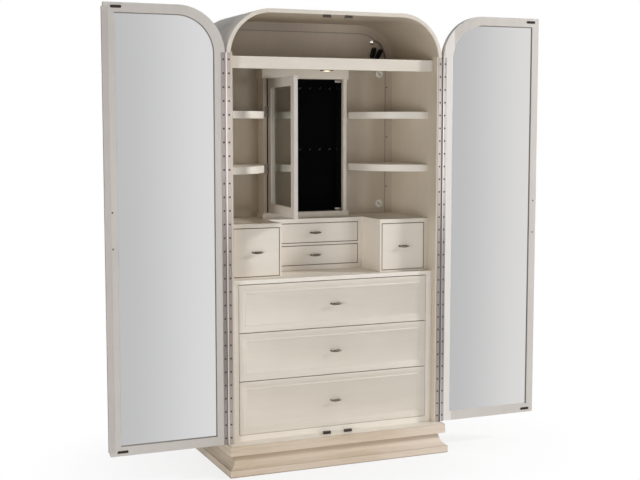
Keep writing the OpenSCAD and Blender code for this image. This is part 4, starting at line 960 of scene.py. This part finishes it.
def front_bead(name, low, height):
    """A low bead round the recessed panel: it rises by 1.3 mm times (sin pi t)^0.6, with t over its 7 mm."""
    low, top = low + BEAD_IN, low + height - BEAD_IN
    path = [[-BEAD_X, BEAD_Y, low], [BEAD_X, BEAD_Y, low], [BEAD_X, BEAD_Y, top], [-BEAD_X, BEAD_Y, top]]
    t = np.linspace(0, 1, 9)
    bump = np.stack([BEAD_WIDE * t - 1.0, BEAD_RISE * np.sin(np.pi * t) ** 0.6 + 0.02], 1)
    profile = np.concatenate([bump, [[BEAD_WIDE - 1.0, -0.3], [-1.0, -0.3]]])
    piece(f"{name}_front_bead", [carried(path, profile, (0, -1, 0))], paint_level, "drawer_" + name,
          "cream_paint")


for front_name, front_low, front_height in WIDE_FRONTS:
    front_bead(front_name, front_low, front_height)

# Hooks of the jewellery cabinet
HOOK_PITCH, HOOK_BACK = 54.0, 486.8
HOOK_ROWS = (1791.0, 1484.0)
HOOK_COUNT = 7
SIDE_HOOK = (203.0, 454.0)


def hook(place, out):
    """A cup hook: a flange, a peg that turns up through a quarter circle of 4 mm, and a ball at its tip."""
    place, out = np.asarray(place, float), np.asarray(out, float)
    a = np.linspace(0, np.pi / 2, 7)
    bend = np.stack([12.0 + 4.0 * np.sin(a), 4.0 - 4.0 * np.cos(a)], 1)
    line = np.vstack([[[0.0, 0.0], [4.0, 0.0], [8.0, 0.0]], bend, [[16.0, 6.0]]])
    path = place + line[:, :1] * out + line[:, 1:] * np.array([0.0, 0.0, 1.0])
    flange = turned([(0.0, 0.0), (0.0, 4.4), (0.7, 4.4), (1.2, 3.7), (1.5, 2.2), (1.5, 0.0)], place, out, 20)
    b = np.linspace(0, np.pi, 9)
    ball = turned(np.stack([-2.3 * np.cos(b), 2.3 * np.sin(b)], 1), path[-1], (0, 0, 1), 16)
    return joined([tube(path, 1.35, 12), flange, ball])


hooks = [hook([(i - (HOOK_COUNT - 1) / 2) * HOOK_PITCH, HOOK_BACK, z], (0, -1, 0))
         for z in HOOK_ROWS for i in range(HOOK_COUNT)]
hooks += [hook([SIDE_HOOK[0], SIDE_HOOK[1], z], (-1, 0, 0)) for z in HOOK_ROWS]
piece("cabinet_hooks", hooks, hook_metal, "case", "hook_steel", "jewel_hooks", crease=60)

# Cable caps: rings of the polar grid, the rise at some radii, and the slot, in millimetres
CAP_X, CAP_BACK, CAP_ZS = 446.0, 489.9, (1870.0, 1200.0)
CAP_LEAN = math.radians(-38)
CAP_RINGS = [0.0, *np.linspace(1.5, 15.0, 11), 15.4, 16.0, 16.4, 16.9, 18.6, 19.4, 19.85, 20.0, 20.0]
CAP_RISE = ((0, 2.1), (14.6, 1.7), (15.2, 1.2), (15.6, 0.9), (16.2, 0.9), (16.8, 2.0), (18.4, 2.4),
            (19.5, 1.7), (20.0, 0.6))
SLOT_HALF, SLOT_REACH, SLOT_DEEP, SLOT_SIDE, SLOT_END = 2.2, 13.0, 1.6, 0.7, 0.8
CAP_LEAST = 0.1
FLOOR_HALF, FLOOR_THICK, FLOOR_UNDER = 11.5, 1.3, 0.6


def cable_cap(z, sides=64):
    """A round cap: over a polar grid its rise is a rounded rim, a groove, and a shallow dome cut by a slot
    that leans by an angle; the slot's depth is a product of two ramps, across it and along it."""
    r = np.array(CAP_RINGS)[:, None]
    a = np.linspace(0, 2 * np.pi, sides, endpoint=False)[None]
    x, y = r * np.cos(a), r * np.sin(a)
    u = x * math.cos(CAP_LEAN) + y * math.sin(CAP_LEAN)
    v = y * math.cos(CAP_LEAN) - x * math.sin(CAP_LEAN)
    slot = np.clip((SLOT_HALF - abs(v)) / SLOT_SIDE, 0, 1) * np.clip((SLOT_REACH - abs(u)) / SLOT_END, 0, 1)
    rise = np.maximum(np.interp(r, *zip(*CAP_RISE)) - SLOT_DEEP * slot, CAP_LEAST * (r > 0))
    rise[-1] = 0.0
    return closed_rings(np.stack([CAP_X + x, CAP_BACK - rise, z + y], 2), both=False)


def slot_floor(z):
    """The dark floor of a cap's slot: a thin tube along it."""
    along = np.array([math.cos(CAP_LEAN), 0.0, math.sin(CAP_LEAN)])
    middle = np.array([CAP_X, CAP_BACK - FLOOR_UNDER, z])
    return tube(middle + np.linspace(-FLOOR_HALF, FLOOR_HALF, 5)[:, None] * along, FLOOR_THICK, 10)


piece("cable_caps", [cable_cap(z) for z in CAP_ZS], cap_plastic, "case", "grommet_plastic", "grommets",
      crease=50)
piece("cable_cap_slots", [slot_floor(z) for z in CAP_ZS], black_plastic, "case", "black_plastic")

# Puck light: (height from its top, radius) round its ring and over its lens
PUCK_RING = [(0.0, 29.0), (0.0, 32.0), (-2.6, 32.0), (-3.0, 31.6), (-3.4, 32.0), (-29.7, 32.0), (-30.9, 31.2),
             (-31.5, 29.8), (-31.5, 27.4), (-30.7, 25.8), (-29.7, 25.2), (-28.0, 25.2), (-28.0, 29.0),
             (0.0, 29.0)]
PUCK_LENS = [(-27.9, 0.0), (-27.9, 25.1), (-30.0, 25.1), (-31.4, 21.5), (-32.4, 15.0), (-32.9, 7.5),
             (-33.0, 0.0)]
piece("puck_ring", [turned(PUCK_RING, PUCK, (0, 0, 1), 64)], bronzed, "case", "hinge_steel", "puck_light")
piece("puck_glass", [turned(PUCK_LENS, PUCK, (0, 0, 1), 64)], lens_finish, "case", "light_lens", "puck_lens")

# Magnet catches, in millimetres. For each kind: half width, front, back and edge of its housing, how far its
# pole plates stay in from its sides and from its top and bottom, their half thickness, front, back and edge
WIDE_CATCH = (20.0, 3.2, 14.6, 1.4, 5.0, 3.4, 0.9, 1.6, 6.0, 0.35)
SMALL_CATCH = (15.0, 433.4, 442.0, 1.2, 4.0, 3.2, 0.7, 432.0, 436.0, 0.3)
WIDE_XS, WIDE_ZS = (-55.0, 55.0), ((139.0, 152.0), (2103.0, 2116.0))
SMALL_X, SMALL_ZS = 188.0, ((1177.5, 1189.5), (1821.0, 1833.0))
NOSE_HALF, NOSE_IN, NOSE_FRONT, NOSE_BACK, NOSE_EDGE = 11.0, 4.6, 2.3, 4.0, 0.6


def catch(kind, x, low, high):
    """A catch's housing, and the two pole plates that stand out of it."""
    half, front, back, edge, side_in, end_in, thick, plate_front, plate_back, plate_edge = kind
    reach = half - side_in
    return block([x - half, front, low], [x + half, back, high], edge), [
        block([x - reach, plate_front, z - thick], [x + reach, plate_back, z + thick], plate_edge)
        for z in (low + end_in, high - end_in)]


housings, small_housings, plates = [], [], []
for low, high in WIDE_ZS:
    for x in WIDE_XS:
        housing, poles = catch(WIDE_CATCH, x, low, high)
        nose = block([x - NOSE_HALF, NOSE_FRONT, low + NOSE_IN], [x + NOSE_HALF, NOSE_BACK, high - NOSE_IN],
                     NOSE_EDGE)
        housings += [housing, nose]
        plates += poles
for low, high in SMALL_ZS:
    housing, poles = catch(SMALL_CATCH, SMALL_X, low, high)
    small_housings.append(housing)
    plates += poles
piece("catch_housings", housings, catch_plastic, "case", "catch_plastic", "magnet_catches")
piece("small_catch_housings", small_housings, pale_plastic, "case", "catch_plastic")
piece("catch_poles", plates, screw_metal, "case", "hinge_steel")

# Boards with eased edges: the bevel's limit, the merge and the flat angle suit the CAD's loose triangles
CAD_MERGE, CAD_FLAT, CAD_CREASE, BEVEL_OVER = 2e-6, 0.4, 32, math.radians(40)
# A front's thickness, and how far back from its face its rim of painted gap shade starts and ends, in metres
FRONT_THICK, RIM_START, RIM_END = 0.0195, 0.0055, 0.0175


def eased(node, width, material, rim=None):
    """A merged copy of a CAD node, which stands for it, whose crisp edges get a small round of the given
    width in millimetres; where a rim finish is given, faces that look sideways near the front get it as
    painted shade in the gaps, and what lies behind a drawer's front is bare board."""
    source = frame["nodes"][node]
    for place in source.material_slots:
        place.material = material
    mesh = source.data.copy()
    cleaned(mesh, CAD_CREASE, CAD_MERGE, CAD_FLAT)
    made = in_scene(node + "_eased", mesh)
    soft = made.modifiers.new("eased edges", "BEVEL")
    soft.width, soft.segments, soft.limit_method, soft.angle_limit = width / 1000, 2, "ANGLE", BEVEL_OVER
    soft.harden_normals = True
    dressed(made, material, source["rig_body"], "cream_paint", node)
    if not rim:
        return
    is_drawer = "drawer" in node
    mesh.materials.append(rim)
    if is_drawer:
        mesh.materials.append(board)
    front = min(v.co.y for v in mesh.vertices)
    start = front + (RIM_START if is_drawer else 0.0)
    for face in mesh.polygons:
        if is_drawer and face.center.y > front + FRONT_THICK:
            face.material_index = 2
        elif abs(face.normal.y) < 0.5 and start < face.center.y < front + RIM_END:
            face.material_index = 1


# The width of each eased edge, in millimetres, and the board's finish
EASED_EDGES = {
    "astragal": (1.2, astragal_paint), "hat_shelf": (1.6, paint_level), "chest_top": (1.2, chest_paint),
    "chest_drawer_upper": (0.8, paint_level), "chest_drawer_middle": (0.8, paint_level),
    "chest_drawer_lower": (0.8, paint_level), "centre_drawer_upper": (1.0, centre_level),
    "centre_drawer_lower": (1.0, centre_level), "side_drawer_left": (1.0, gap_level),
    "side_drawer_right": (1.0, gap_level), "side_boxes": (1.2, gap_upright),
    "centre_box": (1.0, centre_upright), "corner_shelves": (1.5, chest_paint),
    "jewel_trim": (1.2, paint_level), "jewel_case": (0.8, paint_upright),
    "jewel_door_frame": (1.0, cabinet_door_paint), "left_door_frame": (0.8, door_paint),
    "right_door_frame": (0.8, door_paint), "case_shell": (1.5, shell_paint),
    "plinth_fascia": (1.2, tan_glaze), "chest_frame": (0.8, chest_paint),
}
for node_name, (width, finish) in EASED_EDGES.items():
    drawer_rim = wide_rim_shade_paint if "chest_drawer" in node_name else rim_shade_paint
    has_rim = "drawer" in node_name or node_name == "astragal"
    eased(node_name, width, finish, drawer_rim if has_rim else None)

# Clip of the lead: a tilted dome on a flat gasket, each as (height, radius) from its middle on the back
CLIP_AT, CLIP_FACES = (402.0, 492.0, 2034.0), (-0.25, -0.968, 0.0)
CLIP_BASE_AT = (402.0, 490.0, 2030.0)
CLIP_DOME = [(0.0, 0.0), (0.0, 10.6), (6.4, 10.6), (7.8, 10.2), (8.8, 9.0), (9.3, 6.8), (9.6, 4.0),
             (9.7, 0.0)]
CLIP_GASKET = [(0.0, 0.0), (0.0, 11.0), (1.4, 11.0), (1.8, 10.6), (1.8, 0.0)]
piece("lead_saddle", [turned(CLIP_DOME, CLIP_AT, CLIP_FACES, 36)], pearl_plastic, "case", "white_plastic",
      "lead_clip")
piece("lead_clip_base", [turned(CLIP_GASKET, CLIP_BASE_AT, (0, -1, 0), 36)], black_plastic, "case",
      "black_plastic")

# Light's lead: the route and the hank of part.scad, in millimetres of the case's own frame
LEAD_D = 3.0
LEAD_ROUTE = [[404, 482, 2034], [408, 482, 2034], [418, 482, 2035], [430, 482, 2033], [442, 482, 2026],
              [453, 482, 2014], [461, 482, 2000], [467, 482, 1984], [471, 482, 1968], [473, 483, 1952],
              [471, 484, 1938], [464, 484, 1928], [452, 484, 1923], [440, 484, 1922], [426, 484, 1921.8],
              [411, 484, 1921.8], [407, 484, 1921.8]]
HANK_MIDDLE = (404.0, 484.0, 1936.8)
HANK_BEND, HANK_WAIST, HANK_FOLD, HANK_OPENS, HANK_LEAN = 10.5, 4.5, 9.0, 30.0, 0.05
HANK_LOBES = ((17.0, 57.0), (32.0, 66.0))
HANK_LOOPS, HANK_STEP = 4, 3.6
HANK_FRONT = HANK_MIDDLE[1] - HANK_LOOPS * HANK_STEP
PLUG_X, PLUG_Z, PLUG_RUN = 389.0, 1922.9, 4.0
SHELF_Z = LEAD_ROUTE[-1][2]


def hank_half(s):
    """Half the distance between a lobe's two runs at s along it, which opens smoothly from waist to fold:
    waist + (fold - waist) * t^2 * (3 - 2 t), where t is s / 30 held between 0 and 1."""
    t = min(max(s / HANK_OPENS, 0.0), 1.0)
    return HANK_WAIST + (HANK_FOLD - HANK_WAIST) * t * t * (3 - 2 * t)


def hank_y(steps, z):
    """How far back the hank lies, some steps in front of its first loop: it leans back as it rises."""
    return HANK_MIDDLE[1] - steps * HANK_STEP + (z - SHELF_Z) * HANK_LEAN


def hank_loop():
    """One loop in the hank's plane, as ((x, z), share of the step to the next loop): round the bend's outer
    side, up the left lobe, over its fold, down, round the bend's inner side, up the right lobe, over and
    down."""
    outer, inner = HANK_BEND + HANK_WAIST, HANK_BEND - HANK_WAIST
    left, right = HANK_LOBES[0][0], HANK_LOBES[1][0]

    def lobe(side, s, o):
        a = math.radians(HANK_LOBES[side][0])
        h = HANK_BEND * (2 * side - 1)
        return (HANK_MIDDLE[0] + math.cos(a) * (h - o) + math.sin(a) * s,
                HANK_MIDDLE[2] - math.sin(a) * (h - o) + math.cos(a) * s)

    def bend(r, a):
        return HANK_MIDDLE[0] + r * math.cos(math.radians(a)), HANK_MIDDLE[2] + r * math.sin(math.radians(a))

    def up_and_down(side, last_share):
        t, length = HANK_LOBES[side]
        m, half = lobe(side, length, 0), hank_half(length / 2)
        fold = [(m[0] + HANK_FOLD * math.cos(math.radians(180 - i * 45 - t)),
                 m[1] + HANK_FOLD * math.sin(math.radians(180 - i * 45 - t))) for i in range(5)]
        return [(lobe(side, length / 2, half), 0), *((place, 0) for place in fold),
                (lobe(side, length / 2, -half), last_share)]

    loop = [(bend(outer, 270 - i * (90 + left) / 3), 0) for i in range(4)]
    loop += up_and_down(0, 0)
    loop += [(bend(inner, 180 - left + i * (180 - right + left) / 3), 0) for i in range(4)]
    loop += up_and_down(1, 0.5)
    loop += [(bend(outer, -right - i * (90 - right) / 2), 1) for i in range(2)]
    return loop


def lead_path():
    """The whole route: from the clip down to the shelf, through the loops that step forward, to the plug."""
    path = list(LEAD_ROUTE)
    for k in range(HANK_LOOPS):
        path += [[x, hank_y(k + share, z), z] for (x, z), share in hank_loop()]
    path += [[HANK_MIDDLE[0], HANK_FRONT, SHELF_Z], [PLUG_X + PLUG_RUN, HANK_FRONT, PLUG_Z],
             [PLUG_X, HANK_FRONT, PLUG_Z]]
    return placed(path)


def make_lead():
    """The lead as one open curve of the route's points, smoothed, with a round section."""
    path = eased_points(lead_path(), 4)
    line = bpy.data.curves.new("lead", "CURVE")
    line.dimensions = "3D"
    line.bevel_depth = LEAD_D / 2000
    line.bevel_resolution = 3
    line.use_fill_caps = True
    spline = line.splines.new("POLY")
    spline.points.add(len(path) - 1)
    spline.points.foreach_set("co", np.hstack([path, np.ones((len(path), 1))]).ravel())
    lead = in_scene("lead", line)
    dressed(lead, rubber, "case", "black_plastic", "light_lead", "lead_hank")
    return lead, float(np.linalg.norm(np.diff(path, axis=0), axis=1).sum()), path[0]


# Plug: (distance from the lead's end, radius) along its grip and its tip
PLUG_GRIP = [(0.0, 0.0), (0.0, 1.6), (1.2, 1.75), (2.0, 2.1), (4.6, 2.25), (5.0, 1.9), (5.8, 1.9), (6.2, 2.4),
             (7.0, 2.45), (7.4, 2.05), (8.2, 2.05), (8.6, 2.6), (9.6, 2.75), (20.8, 2.75), (21.6, 2.5),
             (22.0, 2.0), (22.0, 0.0)]
PLUG_TIP = [(21.9, 0.0), (21.9, 1.7), (24.4, 1.72), (24.6, 1.5), (25.0, 1.5), (25.2, 1.72), (27.4, 1.72),
            (27.6, 1.5), (28.0, 1.5), (28.2, 1.6), (29.6, 1.5), (30.6, 1.0), (31.0, 0.4), (31.0, 0.0)]


def make_plug():
    """The small moulded connector: a tapered strain relief, a ribbed grip and a bright tip with two rings."""
    start = (PLUG_X, HANK_FRONT, PLUG_Z)
    grip, tip = turned(PLUG_GRIP, start, (-1, 0, 0), 28), turned(PLUG_TIP, start, (-1, 0, 0), 24)
    return [piece("lead_plug_grip", [grip], black_plastic, "case", "black_plastic", "lead_plug"),
            piece("lead_plug_tip", [tip], hook_metal, "case", "hinge_steel")]


# Ties: where they start on a lobe, how far they pass its fold and clear its runs, and the pull of their ends
TIE_FROM, TIE_PAST, TIE_OVER, TIE_PULL = 12.0, 1.0, 2.2, 0.22
TIE_STEPS, TIE_SIDES = 15, 40


def make_ties():
    """Two soft straps, one round each lobe: at s along the lobe a strap's section is a rounded rectangle,
    |across / a|^4 + |y / b|^4 = 1, with a just outside the loops' half width there and b outside their stack;
    both ends pull in."""
    straps = []
    turn = np.linspace(0, 2 * np.pi, TIE_SIDES, endpoint=False)
    c, d = np.cos(turn), np.sin(turn)
    for side, (tilt, length) in enumerate(HANK_LOBES):
        t = math.radians(tilt)
        along, aside = np.array([math.sin(t), 0, math.cos(t)]), np.array([math.cos(t), 0, -math.sin(t)])
        start = np.array([HANK_MIDDLE[0], 0, HANK_MIDDLE[2]]) + aside * HANK_BEND * (2 * side - 1)
        half_stack = (HANK_LOOPS - 1) / 2
        rings = []
        for share in np.linspace(0, 1, TIE_STEPS):
            s = TIE_FROM + share * (length + TIE_PAST - TIE_FROM)
            pull = 1 - TIE_PULL * (2 * abs(share - 0.5)) ** 8
            centre = start + along * s
            a = (hank_half(s) + TIE_OVER) * pull
            b = ((half_stack + 0.25 * side) * HANK_STEP + TIE_OVER) * pull
            ring = centre + (a * np.sign(c) * abs(c) ** 0.5)[:, None] * aside
            ring[:, 1] = hank_y(half_stack + 0.25 * side, centre[2]) + b * np.sign(d) * abs(d) ** 0.5
            rings.append(ring)
        straps.append(closed_rings(rings))
    return piece("lead_ties", straps, strap_weave, "case", "black_plastic", crease=60)


lead, lead_length, lead_exit = make_lead()
plug_pieces = make_plug() + [make_ties()]

# Floor, world and lamps
FLOOR_RADIUS, FLOOR_RINGS, FLOOR_SIDES, FLOOR_Z = 14.0, 25, 96, -0.0005
SHADOW_NEAR, SHADOW_FAR, SHADOW_LIGHT = 0.35, 1.1, 0.8
WHITE = (1, 1, 1, 1)


def background_rays(nodes):
    """1 for rays that see the background: from the camera, a gloss or through glass."""
    rays = nodes.tree.nodes.new("ShaderNodeLightPath")
    seen = [Wire(nodes, rays.outputs[n]) for n in ("Is Camera Ray", "Is Glossy Ray", "Is Transmission Ray")]
    return nodes.node("ShaderNodeMath", {"operation": "MINIMUM"}, {0: seen[0] + seen[1] + seen[2], 1: 1.0})


def make_floor():
    """A flat disc, r times (cos a, sin a, 0); near the object it keeps the shadow, further out it runs into
    white."""
    r = FLOOR_RADIUS * np.linspace(0, 1, FLOOR_RINGS) ** 2
    a = np.linspace(0, 2 * np.pi, FLOOR_SIDES, endpoint=False)
    flat = np.full((FLOOR_RINGS, FLOOR_SIDES), FLOOR_Z)
    points = np.stack([np.outer(r, np.cos(a)), np.outer(r, np.sin(a)), flat], 2).reshape(-1, 3)
    floor = new_mesh("studio_floor", points, grid_faces(FLOOR_RINGS, FLOOR_SIDES, round_columns=True))
    if floor.data.polygons[len(floor.data.polygons) // 2].normal.z < 0:
        floor.data.flip_normals()
    f = Finish("pale_floor", Roughness=0.9, Specular_IOR_Level=0.1, Base_Color=(0.93, 0.93, 0.93, 1.0))
    x, y = f.part("X"), f.part("Y")
    away = (x * x * 0.5 + y * y) ** 0.5
    glow = f.node("ShaderNodeEmission", {}, {"Color": WHITE, "Strength": 1.0})
    share = f.ease(away, SHADOW_NEAR, SHADOW_FAR, SHADOW_LIGHT, 1.0) * background_rays(f)
    mix = f.node("ShaderNodeMixShader", {}, {0: share, 1: Wire(f, f.shader.outputs[0]), 2: glow})
    f.feed(f.tree.nodes["Material Output"].inputs["Surface"], mix)
    floor.data.materials.append(f.material)


def make_world(strength):
    """White behind the object, and an even studio grey as light."""
    world = bpy.data.worlds.new("studio")
    world.use_nodes = True
    bpy.context.scene.world = world
    world.node_tree.nodes.clear()
    nodes = Nodes(world.node_tree)
    light = nodes.node("ShaderNodeBackground", {}, {"Color": (1.0, 0.985, 0.965, 1), "Strength": strength})
    white = nodes.node("ShaderNodeBackground", {}, {"Color": WHITE, "Strength": 1.0})
    mix = nodes.node("ShaderNodeMixShader", {}, {0: background_rays(nodes), 1: light, 2: white})
    nodes.feed(world.node_tree.nodes.new("ShaderNodeOutputWorld").inputs["Surface"], mix)


def lamp(name, place, target, width, height, watts, tone=(1, 1, 1)):
    """A soft rectangular lamp that looks from its place to a target."""
    data = bpy.data.lights.new(name, "AREA")
    data.shape = "RECTANGLE"
    data.size, data.size_y, data.energy, data.color = width, height, watts, tone
    looks = (Vector(target) - Vector(place)).to_track_quat("-Z", "Y").to_matrix().to_4x4()
    in_scene(name, data).matrix_world = Matrix.Translation(place) @ looks


make_floor()
make_world(0.05)
lamp("key_lamp", (5.0, -2.3, 3.6), (0.0, -0.2, 1.1), 0.8, 0.8, 218, (1.0, 0.99, 0.975))
lamp("low_lamp", (2.2, -5.2, 1.2), (0.0, -0.2, 1.1), 1.5, 1.5, 46)
lamp("left_lamp", (-4.6, -3.4, 0.9), (0.0, -0.2, 1.0), 1.6, 1.6, 108)
lamp("back_lamp", (0.8, 6.2, 1.7), (0.0, 0.3, 1.1), 2.4, 2.0, 210)
